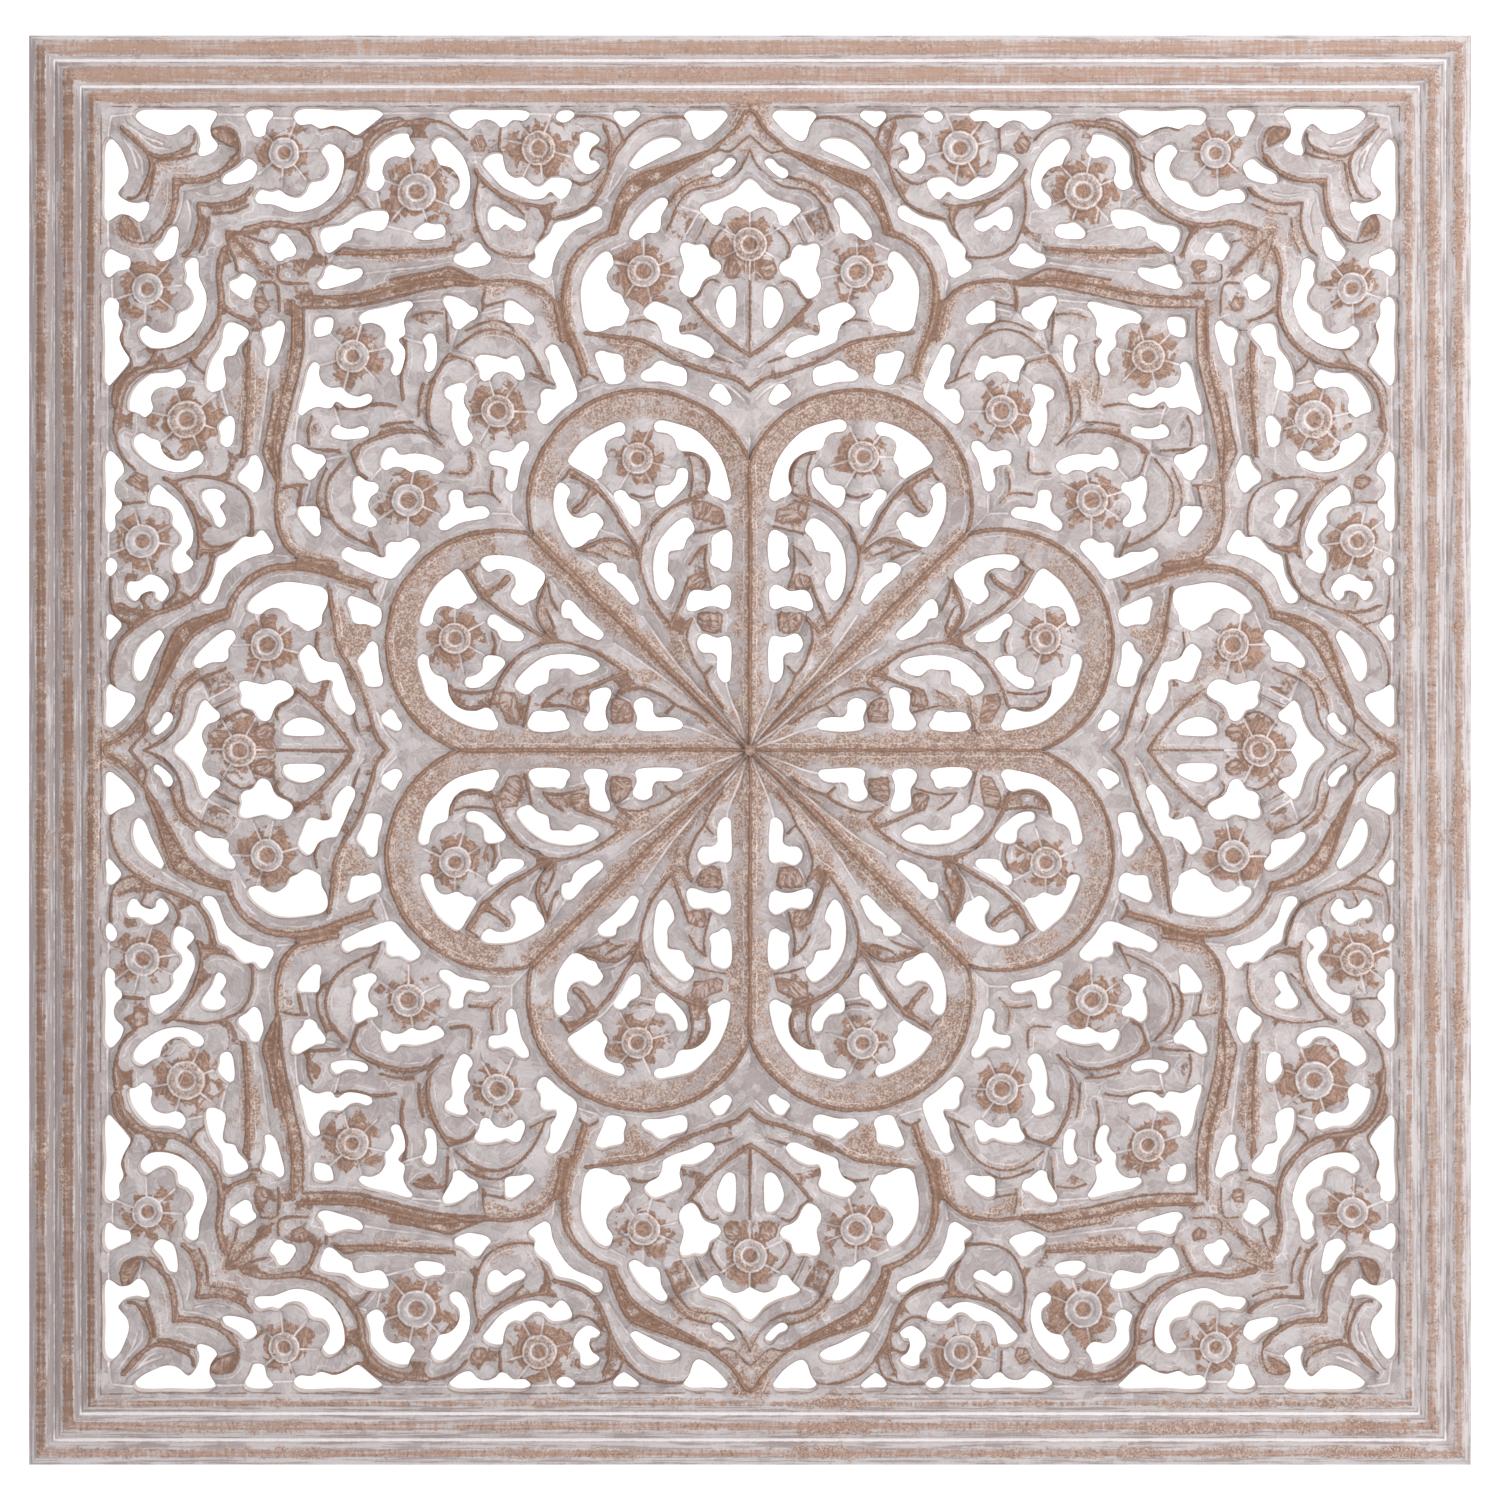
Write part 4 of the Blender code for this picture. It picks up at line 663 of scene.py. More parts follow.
@dataclass
class Relief:
    """Height of the carved face above the back, and how far each finish reaches, anywhere in a sector."""

    pattern: Pattern
    rim: float = 12.6
    valley: float = 13.8
    crest: float = 17.5
    petal: float = 16.9
    roundness: float = 0.45
    cut_depth: float = 0.8
    cut_half_width: float = 1.3
    lobe_depth: float = 1.3
    lobe_half_width: float = 5.5
    hollow: float = 0.26
    flower_reach: float = 1.2
    pit_floor: float = 14.9
    flower_root: float = 15.9
    ring_rise: float = 2.0
    edge_profile: Tuple[Pair, ...] = ((0, 13.2), (1.2, 14.0), (6, 17.6), (8.3, 17.95), (10.7, 17.6),
                                      (15.3, 13.9), (16.1, 13.5), (16.9, 13.9), (21.5, 17.6),
                                      (24.3, 17.95), (27.2, 17.6), (32.1, 14.0), (32.9, 13.6),
                                      (33.7, 14.0), (38.6, 17.3), (40.5, 17.6), (42.4, 17.2), (47, 12.9))
    border_grooves: Pair = (16.1, 32.9)
    bare_bands: Tuple[Pair, ...] = ((5.8, 10.4), (22.8, 28.0), (38.0, 41.3))
    last_reed: float = 40.5
    far: float = 99.0
    ring_band: Tuple[Pair, Pair] = ((53, 57), (72.5, 74.5))
    spoke_band: Pair = (10.5, 12.5)
    spoke_end: float = 186.0
    oblique_band: Pair = (8.0, 11.5)
    oblique_end: float = 196.0
    ring_wear: float = 0.8

    def measure(self, points: np.ndarray) -> Dict[str, np.ndarray]:
        """Height and finish at each point.

        Args:
            points: places in the sector, in millimetres.

        Returns:
            Arrays by name: height, and the distances and weights that the finish reads.
        """
        p = self.pattern
        rims = zip(spans_of(p.windows, True), spans_of(p.halves))
        to_window = distance_to(points, *(np.vstack(pair) for pair in rims))
        to_groove, to_cut, to_crest = (distance_to(points, *spans_of(lines))
                                       for lines in (p.grooves, p.cuts, p.crests))
        bare = np.min([distance_to(points, line[:-1], line[1:]) - half
                       for line, half in zip(p.crests, p.widths)]
                      + [self.depth_in(points, facet) for facet in p.facets], axis=0)
        bloom, pit, from_ring = self.by_flowers(points)
        low, high = np.minimum(to_window, to_groove), np.minimum(to_crest, from_ring)
        floor = self.between(self.rim, to_window, self.valley, to_groove)
        top = self.between(self.crest, to_crest, self.petal, from_ring)
        height = floor + (top - floor) * self.slope(low, high)
        cut = np.minimum(to_cut, to_groove)
        height -= self.cut_depth * np.clip(1 - cut / self.cut_half_width, 0, 1)
        height -= self.lobe_depth * np.clip(1 - to_cut / self.lobe_half_width, 0, 1) ** 2
        height = np.where(bloom < self.flower_reach, self.flower_height(bloom, pit, height), height)
        edge = HALF_SIDE - points[:, 1]
        border = np.interp(edge, *zip(*self.edge_profile))
        slope_end = self.edge_profile[-1][0]
        height = np.where(edge < self.last_reed, border,
                          np.where(edge < slope_end, np.maximum(border, height), height))
        band = np.min([np.maximum(lo - edge, edge - hi) for lo, hi in self.bare_bands], axis=0)
        beside = np.where(edge > self.bare_bands[-1][0], bare, self.far)
        bare = np.where(edge < BORDER_END, np.minimum(band, beside), bare)
        lines = np.min([np.abs(edge - place) for place in self.border_grooves], axis=0)
        light = np.where(edge < BORDER_END, lines, cut)
        return {"height": height, "bare": np.minimum(bare, 9), "light": np.minimum(light, 9),
                "worn": self.worn(points, p.speckled), "bloom": np.minimum(bloom, 4), "pit": pit,
                "edge": np.minimum(edge, 60), "rim": np.minimum(to_window, 9),
                "rise": np.clip((height - self.rim) / (self.crest - self.rim), 0, 1)}

    @staticmethod
    def between(first: float, to_first: np.ndarray, second: float, to_second: np.ndarray) -> np.ndarray:
        """A height between two, by how near each of them is."""
        weights = 1 / (to_first + 0.3) ** 2, 1 / (to_second + 0.3) ** 2
        return (first * weights[0] + second * weights[1]) / sum(weights)

    def slope(self, low: np.ndarray, high: np.ndarray) -> np.ndarray:
        """How far up from floor to crest each point is, from 0 to 1.

        Args:
            low: distances to the nearest low line.
            high: distances to the nearest crest.

        Returns:
            The shares, with the crests rounded and the slopes a little hollow.
        """
        rounded = np.sqrt(high ** 2 + self.roundness ** 2)
        slope = np.maximum(low / (low + rounded + 1e-9), 0.6 * np.clip(low / 7, 0, 1))
        return slope * (1 - self.hollow * (1 - np.exp(-high / 2.5)))

    def by_flowers(self, points: np.ndarray) -> Tuple[np.ndarray, np.ndarray, np.ndarray]:
        """Where each point lies in the nearest flower.

        Args:
            points: places in the sector, in millimetres.

        Returns:
            The distance from its middle and the radius of its pit, both as shares of its ring's radius, and
            the distance from the crest of its petals.
        """
        from_crest, bloom = np.full(len(points), self.far), np.full(len(points), self.far)
        pit = np.full(len(points), 0.6)
        for flower in FLOWERS:
            radius = np.hypot(*(points - (flower.a, flower.b)).T)
            from_crest = np.minimum(from_crest, np.abs(radius - flower.ring - 1.5))
            pit = np.where(radius / flower.ring < bloom, flower.pit / flower.ring, pit)
            bloom = np.minimum(bloom, radius / flower.ring)
        return bloom, pit, from_crest

    def flower_height(self, bloom: np.ndarray, pit: np.ndarray, outside: np.ndarray) -> np.ndarray:
        """Height in the middle of a flower: a pit, a round ring, and the root of the petals."""
        root = self.flower_root
        floor = self.pit_floor + 0.5 * np.clip(bloom / 0.3, 0, 1)
        wall = floor + (root - floor) * softened(bloom, 0, 1)
        across = (bloom - (pit + 1) / 2) / ((1.08 - pit) / 2)
        ring = root + self.ring_rise * np.sqrt(np.clip(1 - across ** 2, 0, 1))
        middle = np.where(bloom < pit - 0.12, floor, np.where(bloom < pit, wall, ring))
        middle = np.where(bloom > 1.04, root, middle)
        return middle + (outside - middle) * softened(bloom, 1.04, self.flower_reach)

    @staticmethod
    def depth_in(points: np.ndarray, outline: np.ndarray) -> np.ndarray:
        """Distance to a closed outline, negative inside it."""
        near = distance_to(points, outline, np.roll(outline, -1, axis=0))
        return np.where(inside(points, outline), -near, near)

    def worn(self, points: np.ndarray, speckled: List[np.ndarray]) -> np.ndarray:
        """How much rubbing speckles each place: rings, spokes and single bands.

        Args:
            points: places in the sector, in millimetres.
            speckled: outlines of the single bands.

        Returns:
            Shares from 0 to 1.
        """
        a, b = points.T
        radius = np.hypot(a - PETAL_CENTRE[0], b - PETAL_CENTRE[1])
        inner, outer = self.ring_band
        ring = softened(radius, *inner) * (1 - softened(radius, *outer)) * (b > 120 + 0.3 * a)
        off = (b - a) / math.sqrt(2)
        along = (a + b) / math.sqrt(2)
        spoke = (1 - softened(a, *self.spoke_band)) * (b < self.spoke_end)
        oblique = (1 - softened(off, *self.oblique_band)) * (along < self.oblique_end)
        worn = np.maximum(np.maximum(ring, spoke), oblique)
        bands = [1 - softened(self.depth_in(points, band), -1.2, 1.0) for band in speckled]
        return np.maximum(worn * self.ring_wear, np.max(bands, axis=0))


@dataclass
class Sector:
    """One eighth of the carved face as triangles that follow its lines."""

    relief: Relief
    fill: float = 4.8
    closest: float = 1.0
    side_offset: float = 1.3
    side_step: float = 3.2
    side_room: float = 1.6
    border_step: float = 7.5
    rim_step: float = 5.0
    cell: float = 3.0
    places: Dict[Pair, int] = field(default_factory=dict)
    points: List[Pair] = field(default_factory=list)
    edges: List[Tuple[int, int]] = field(default_factory=list)
    outlines: List[List[int]] = field(default_factory=list)

    def mesh(self) -> Tuple[np.ndarray, np.ndarray]:
        """Points and triangles of the sector, with the windows left open.

        Returns:
            The points in millimetres and the triangles, anticlockwise.
        """
        pattern = self.relief.pattern
        for window in pattern.windows:
            self.outlines.append(self.add(anticlockwise(window)))
        for half in pattern.halves:
            self.outlines.append(self.add(anticlockwise(self.snapped(half))))
        windows = pattern.windows + [self.snapped(half) for half in pattern.halves]
        facets = [np.vstack([facet, facet[:1]]) for facet in pattern.facets]
        for line in pattern.crests + pattern.grooves + pattern.cuts + facets:
            self.add_line(self.snapped(line), windows)
        self.add_border()
        for flower in FLOWERS:
            self.add_flower(flower)
        self.add_sides()
        cuts = pattern.grooves + pattern.cuts
        beside = [self.beside(line, self.side_offset) for line in pattern.crests]
        beside += [self.beside(line, self.relief.cut_half_width) for line in cuts]
        self.add_loose(np.vstack(beside), self.closest, windows)
        self.add_loose(self.hexagons(), self.fill * 0.62, windows)
        flat = [Vector(p) for p in self.points]
        found = delaunay_2d_cdt(flat, self.edges, self.outlines, 0, 1e-5, True)
        points = self.snapped(np.array([tuple(p) for p in found[0]]))
        triangles = np.array([face for face, owners in zip(found[2], found[5]) if not owners])
        corners = points[triangles]
        first, second = corners[:, 1] - corners[:, 0], corners[:, 2] - corners[:, 0]
        area = first[:, 0] * second[:, 1] - first[:, 1] * second[:, 0]
        triangles[area < 0] = triangles[area < 0][:, ::-1]
        return points, triangles[np.abs(area) > 1e-5]

    @staticmethod
    def snapped(points: np.ndarray) -> np.ndarray:
        """The points, with those next to the axis or the diagonal moved onto it."""
        points = points.copy()
        points[np.abs(points[:, 0]) < 0.25, 0] = 0
        near = np.abs(points[:, 0] - points[:, 1]) < 0.35
        points[near] = points[near].mean(1)[:, None]
        return points

    def add(self, points: np.ndarray) -> List[int]:
        """Numbers of the points, each kept once."""
        numbers = []
        for a, b in points:
            place = (round(float(a), 3) + 0.0, round(float(b), 3) + 0.0)
            if place not in self.places:
                self.places[place] = len(self.points)
                self.points.append(place)
            numbers.append(self.places[place])
        return numbers

    def add_line(self, line: np.ndarray, windows: List[np.ndarray]) -> None:
        """Adds an open line, except where it runs through a window or out of the sector."""
        kept = (line[:, 0] >= 0) & (line[:, 0] <= line[:, 1])
        for window in windows:
            kept &= ~inside(line, window)
        numbers = np.full(len(line), -1)
        numbers[kept] = self.add(line[kept])
        self.edges += [(int(i), int(j)) for i, j in zip(numbers, numbers[1:])
                       if min(i, j) >= 0 and i != j]

    def add_border(self) -> None:
        """Adds the lines of the reeds, parallel to the outer edge and mitred on the diagonal."""
        for inset, _ in self.relief.edge_profile:
            level = HALF_SIDE - inset
            step = self.border_step if inset < BORDER_END else self.rim_step
            count = round(level / step)
            line = np.stack([np.linspace(0, level, count + 1), np.full(count + 1, level)], 1)
            numbers = self.add(line)
            self.edges += list(zip(numbers, numbers[1:]))

    def add_flower(self, flower: Flower) -> None:
        """Adds the circles of the pit, the ring and the root of the petals of a flower."""
        middle = (flower.pit + flower.ring) / 2
        start = math.pi / 4 if flower.a == flower.b else math.pi / 2
        for radius in (flower.pit * 0.8, flower.pit, middle, flower.ring, flower.ring * 1.2):
            count = 2 * round(math.pi * radius / 2.5)
            angles = start + np.arange(count + 1) * 2 * math.pi / count
            circle = around((flower.a, flower.b), radius, angles)
            self.add_line(self.snapped(circle), self.relief.pattern.windows)
        self.add(np.array([(flower.a, flower.b)]))

    def add_sides(self) -> None:
        """Adds the three straight sides of the sector, through every point that lies on them."""
        for step in np.arange(2.5, HALF_SIDE - CARVING_START, self.side_step):
            for place in ((0.0, step), (step, step)):
                gaps = (abs(place[0] - a) + abs(place[1] - b) for a, b in self.on_side(place))
                if min(gaps) > self.side_room:
                    self.add(np.array([place]))
        self.add(np.array([(0.0, 0.0)]))
        points = np.array(self.points)
        for on, along in ((points[:, 0] == 0, 1), (points[:, 0] == points[:, 1], 0),
                          (points[:, 1] == HALF_SIDE, 0)):
            numbers = np.nonzero(on)[0]
            numbers = numbers[points[numbers, along].argsort()].tolist()
            self.edges += list(zip(numbers, numbers[1:]))

    def on_side(self, place: Pair) -> Iterator[Pair]:
        """The points so far on the axis or on the diagonal, whichever the place is on."""
        for a, b in self.points:
            if (a == 0) if place[0] == 0 else (a == b):
                yield a, b

    @staticmethod
    def beside(line: np.ndarray, offset: float) -> np.ndarray:
        """Points on both sides of a line, at the given distance from it."""
        way = np.gradient(line, axis=0)
        across = np.stack([-way[:, 1], way[:, 0]], 1) / np.maximum(np.hypot(*way.T), 1e-9)[:, None]
        return np.vstack([line + across * offset, line - across * offset])

    def hexagons(self) -> np.ndarray:
        """Evenly spaced points over the carved part of the sector."""
        rows = []
        for k, b in enumerate(np.arange(self.fill, HALF_SIDE - CARVING_START, self.fill * 0.866)):
            across = np.arange((k % 2) * self.fill / 2, b, self.fill)
            rows.append(np.stack([across, np.full(len(across), b)], 1))
        return np.vstack(rows)

    def add_loose(self, points: np.ndarray, room: float, windows: List[np.ndarray]) -> None:
        """Adds those of the points that lie inside the sector, off the windows and not crowded.

        Args:
            points: the points to try, in order.
            room: least distance from a point that is already there.
            windows: outlines that the points keep out of.
        """
        off = (points[:, 1] - points[:, 0]) / math.sqrt(2)
        kept = (points[:, 0] > room) & (off > room) & (points[:, 1] < HALF_SIDE - CARVING_START)
        for window in windows:
            kept &= ~inside(points, window)
        points = points[kept]
        points = points[distance_to(points, *spans_of(windows, True)) > room]
        cells: Dict[Tuple[int, int], List[Pair]] = {}
        for a, b in self.points:
            cells.setdefault((int(a // self.cell), int(b // self.cell)), []).append((a, b))
        for a, b in points:
            column, row = int(a // self.cell), int(b // self.cell)
            crowd = (q for i in (-1, 0, 1) for j in (-1, 0, 1)
                     for q in cells.get((column + i, row + j), ()))
            if all((q[0] - a) ** 2 + (q[1] - b) ** 2 > room * room for q in crowd):
                self.add(np.array([(a, b)]))
                cells.setdefault((column, row), []).append((a, b))


@dataclass
class CarvedBoard:
    """The whole board: eight sectors of carving, the walls of the windows, and a plain back."""

    relief: Relief
    name: str = "carved_board"
    drift: Tuple[Pair, ...] = ((0.9, 75.0), (0.5, 15.0))
    chisel: Tuple[Pair, ...] = ((0.28, 11.0), (0.16, 4.5))
    highest: float = 17.98
    sharp_degrees: float = 38.0

    def build(self) -> bpy.types.Object:
        """Makes the board's mesh and its finish.

        Returns:
            The board as an object at the origin.
        """
        flat, triangles = Sector(self.relief).mesh()
        values = self.relief.measure(flat)
        places, faces, origins = self.mirrored(flat, triangles)
        values = {name: value[origins] for name, value in values.items()}
        self.rub(places, values)
        places, heights = self.by_hand(places, values)
        rims = self.loops(faces)
        ring = np.concatenate(rims)
        behind = np.full(len(places), -1)
        behind[ring] = np.arange(len(ring)) + len(places)
        walls = np.vstack([np.stack([np.roll(rim, -1), rim, behind[rim], behind[np.roll(rim, -1)]], 1)
                           for rim in rims])
        back = behind[self.back_faces(places, rims)]
        front = np.column_stack([places[:, 0], -heights, places[:, 1]])
        points = np.vstack([front, front[ring] * (1, 0, 1)]) / MM_IN_M
        mesh = bpy.data.meshes.new(self.name)
        mesh.from_pydata(points.tolist(), [], faces.tolist() + walls.tolist() + back.tolist())
        slots = np.repeat((0, 1, 2), (len(faces), len(walls), len(back)))
        mesh.polygons.foreach_set("material_index", slots.astype(np.int32))
        for name in ("bare", "light", "worn", "bloom", "pit", "edge", "rim", "rise", "tone"):
            value = np.append(values[name], values[name][ring]).astype(np.float32)
            mesh.attributes.new(name, "FLOAT", "POINT").data.foreach_set("value", value)
        board = bpy.data.objects.new(self.name, mesh)
        bpy.context.scene.collection.objects.link(board)
        for finish in (WashedFace(), WashedWall(), PlainBack()):
            mesh.materials.append(finish.material())
        self.smooth(board)
        logging.info("%s: %d points, %d triangles", self.name, len(points),
                     len(faces) + 2 * len(walls) + len(back))
        return board

    @staticmethod
    def mirrored(flat: np.ndarray, triangles: np.ndarray) -> Tuple[np.ndarray, np.ndarray, np.ndarray]:
        """All eight sectors, joined where they meet.

        Args:
            flat: points of one sector.
            triangles: triangles of one sector.

        Returns:
            The points, the triangles, and the number of the sector's point that each point comes from.
        """
        places, faces = [], []
        for is_swapped, sign_x, sign_z in product((False, True), (1, -1), (1, -1)):
            is_turned = is_swapped ^ (sign_x < 0) ^ (sign_z < 0)
            faces.append((triangles[:, ::-1] if is_turned else triangles) + len(flat) * len(places))
            places.append((flat[:, ::-1] if is_swapped else flat) * (sign_x, sign_z))
        stacked = np.vstack(places)
        _, first, number = np.unique(np.round(stacked, 3) + 0.0, axis=0, return_index=True,
                                     return_inverse=True)
        faces = number.reshape(-1)[np.vstack(faces)]
        whole = (faces != np.roll(faces, -1, axis=1)).all(1)
        return stacked[first], faces[whole], first % len(flat)

    @staticmethod
    def rub(places: np.ndarray, values: Dict[str, np.ndarray]) -> None:
        """Rubs the top rail barer than the others, leaves less paint in the grooves of the stiles, and
        paints light onto the rails by side: lightest on the top rail, lighter on the right stile and the
        bottom rail, darker on the left stile, as if lit from the upper right.
        """
        x, z = places.T
        on_border = values["edge"] < BORDER_END
        top = on_border & (z > np.abs(x) + 1)
        sill = on_border & (-z > np.abs(x) + 1)
        stile = on_border & (np.abs(x) > np.abs(z) + 1)
        values["bare"] = values["bare"] - 2.3 * top + 0.5 * sill + 0.3 * x / HALF_SIDE
        values["light"] = values["light"] + 0.45 * stile - 0.3 * top - 0.4 * sill
        # Painted light: each rail's tone by its side, lighter on the top, right and bottom, darker on the
        # left
        values["tone"] = 0.55 * top + 0.25 * sill - 0.75 * (stile & (x < 0)) + 0.3 * (stile & (x > 0))

    def by_hand(self, places: np.ndarray, values: Dict[str, np.ndarray]) -> Tuple[np.ndarray, np.ndarray]:
        """The unevenness of carving by hand, so that no two sectors are quite alike.

        Args:
            places: points of the face.
            values: their height and finish, by name.

        Returns:
            The moved points, at the board's true height, and the heights above the back.
        """
        inner = softened(values["edge"], 30, 60)
        moved, heights = places.copy(), values["height"].copy()
        for amount, length in self.drift:
            shift = np.array([[noise.noise(Vector((x / length, z / length, layer)))
                               for layer in (length, 2 * length)] for x, z in places])
            moved += shift * (amount * inner)[:, None]
        for amount, length in self.chisel:
            rise = np.array([noise.noise(Vector((x / length, z / length, -length))) for x, z in places])
            heights += rise * amount * (0.35 + 0.65 * inner)
        moved[:, 1] *= HEIGHT_TO_WIDTH
        return moved, np.minimum(heights, self.highest)

    @staticmethod
    def loops(faces: np.ndarray) -> List[np.ndarray]:
        """The closed rims of the face: its outer edge and the windows, each with the wood on its left."""
        edges = np.vstack([faces[:, [0, 1]], faces[:, [1, 2]], faces[:, [2, 0]]])
        known = set(map(tuple, edges.tolist()))
        ahead = {i: j for i, j in known if (j, i) not in known}
        rims = []
        while ahead:
            start, place = ahead.popitem()
            rim = [start]
            while place != start:
                rim.append(place)
                place = ahead.pop(place)
            rims.append(np.array(rim))
        return rims

    @staticmethod
    def back_faces(places: np.ndarray, rims: List[np.ndarray]) -> np.ndarray:
        """Triangles of the plain back, between the same rims.

        Args:
            places: points of the face.
            rims: the closed rims, as numbers of points.

        Returns:
            The triangles as numbers of the front's points, turned to face backwards.
        """
        ring = np.concatenate(rims)
        outer = max(range(len(rims)), key=lambda i: np.abs(places[rims[i]]).sum(1).max())
        starts = np.cumsum([0] + [len(rim) for rim in rims])
        outlines = [list(range(start, end)) for start, end in zip(starts, starts[1:])]
        outlines = [line if i == outer else line[::-1] for i, line in enumerate(outlines)]
        found = delaunay_2d_cdt([Vector(p) for p in places[ring]], [], outlines, 0, 1e-6, True)
        origins = np.array([ring[old[0]] for old in found[3]])
        kept = np.array([face for face, owners in zip(found[2], found[5]) if owners == [outer]])
        return origins[kept[:, ::-1]]

    def smooth(self, board: bpy.types.Object) -> None:
        """Shades the carving smooth, with the crests, the cuts and the rims left sharp."""
        bpy.ops.object.select_all(action="DESELECT")
        board.select_set(True)
        bpy.context.view_layer.objects.active = board
        bpy.ops.object.shade_smooth_by_angle(angle=math.radians(self.sharp_degrees), keep_sharp_edges=True)


class Nodes:
    """A tree of nodes, added one at a time."""

    def __init__(self, tree: bpy.types.NodeTree) -> None:
        """Starts with the tree empty."""
        self.tree = tree
        self.tree.nodes.clear()

    def node(self, kind: str, inputs: Dict, output: object = 0, **settings: str) -> bpy.types.NodeSocket:
        """Adds a node and joins it up.

        Args:
            kind: Blender's name for the node, after "ShaderNode".
            inputs: values or sockets, by the name or number of the input.
            output: name or number of the output that is wanted.
            settings: the node's own settings, such as its operation.

        Returns:
            The output's socket.
        """
        node = self.tree.nodes.new("ShaderNode" + kind)
        for name, setting in settings.items():
            setattr(node, name, setting)
        for key, value in inputs.items():
            if isinstance(value, bpy.types.NodeSocket):
                self.tree.links.new(value, node.inputs[key])
            else:
                node.inputs[key].default_value = value
        return node.outputs[output] if node.outputs else None

    def math(self, operation: str, *values: object) -> bpy.types.NodeSocket:
        """A sum of one to three values."""
        return self.node("Math", dict(enumerate(values)), operation=operation)

    def axes(self, vector: bpy.types.NodeSocket) -> List[bpy.types.NodeSocket]:
        """The three parts of a vector or a colour."""
        return list(self.node("SeparateXYZ", {0: vector}).node.outputs)

    def step(self, value: object, low: object, high: object, least: float = 0.0, most: float = 1.0,
             kind: str = "SMOOTHSTEP") -> bpy.types.NodeSocket:
        """Smooth step from the least at low to the most at high."""
        inputs = {"Value": value, "From Min": low, "From Max": high, "To Min": least, "To Max": most}
        return self.node("MapRange", inputs, interpolation_type=kind)

    def below(self, value: object, low: object, high: object) -> bpy.types.NodeSocket:
        """Smooth step from 1 at low to 0 at high."""
        return self.math("SUBTRACT", 1.0, self.step(value, low, high))

    def times(self, first: object, *others: object) -> bpy.types.NodeSocket:
        """The product of some values."""
        return reduce(lambda so_far, other: self.math("MULTIPLY", so_far, other), others, first)

    def most(self, first: object, *others: object) -> bpy.types.NodeSocket:
        """The greatest of some values."""
        return reduce(lambda so_far, other: self.math("MAXIMUM", so_far, other), others, first)

    def total(self, base: object, *terms: Tuple[object, object]) -> bpy.types.NodeSocket:
        """The base and each term's value times its weight, added up."""
        return reduce(lambda so_far, term: self.math("MULTIPLY_ADD", *term, so_far), terms, base)

    def swayed(self, base: object, *terms: Tuple[object, float]) -> bpy.types.NodeSocket:
        """The base, moved to both sides by patterns around 0.5, each by its own amount."""
        shifts = ((self.math("SUBTRACT", pattern, 0.5), amount) for pattern, amount in terms)
        return self.total(base, *shifts)


class Shader(Nodes):
    """A material's nodes."""

    def __init__(self, name: str) -> None:
        """Starts an empty material with the object's own coordinates in millimetres."""
        self.made = bpy.data.materials.new(name)
        self.made.use_nodes = True
        super().__init__(self.made.node_tree)
        own = self.node("TexCoord", {}, "Object")
        self.place = self.node("VectorMath", {0: own, 3: MM_IN_M}, operation="SCALE")

    def value(self, name: str) -> bpy.types.NodeSocket:
        """One of the board's own measures."""
        return self.node("Attribute", {}, "Fac", attribute_name=name)

    def noise(self, size: float, detail: float = 2.0, roughness: float = 0.5,
              place: Optional[bpy.types.NodeSocket] = None) -> bpy.types.NodeSocket:
        """Cloudy pattern around 0.5 whose blotches are about the given size in millimetres."""
        inputs = {"Vector": place or self.place, "Scale": 1 / size, "Detail": detail, "Roughness": roughness}
        return self.node("TexNoise", inputs, "Fac")

    def blend(self, factor: object, first: object, second: object) -> bpy.types.NodeSocket:
        """Colour between two, each a socket or a screen colour, by a factor."""
        first, second = (given if isinstance(given, bpy.types.NodeSocket) else tint(*given)
                         for given in (first, second))
        return self.node("Mix", {0: factor, 6: first, 7: second}, 2, data_type="RGBA")

    def finish(self, colour: object, roughness: object, height: bpy.types.NodeSocket, depth: float,
               gloss: float) -> bpy.types.Material:
        """Ends the material.

        Args:
            colour: base colour.
            roughness: how matt it is.
            height: the fine relief, around 0.5.
            depth: the fine relief's depth in millimetres.
            gloss: specular level.

        Returns:
            The material.
        """
        bump = self.node("Bump", {"Strength": 1.0, "Distance": depth / MM_IN_M, "Height": height})
        wood = self.node("BsdfPrincipled", {"Base Color": colour, "Roughness": roughness, "Normal": bump,
                                            "Specular IOR Level": gloss})
        self.node("OutputMaterial", {"Surface": wood})
        return self.made


def tint(red: int, green: int, blue: int) -> Tuple[float, float, float, float]:
    """A screen colour as the linear one that a socket takes."""
    channels = (c / 255 for c in (red, green, blue))
    return (*(c / 12.92 if c <= 0.04045 else ((c + 0.055) / 1.055) ** 2.4 for c in channels), 1.0)


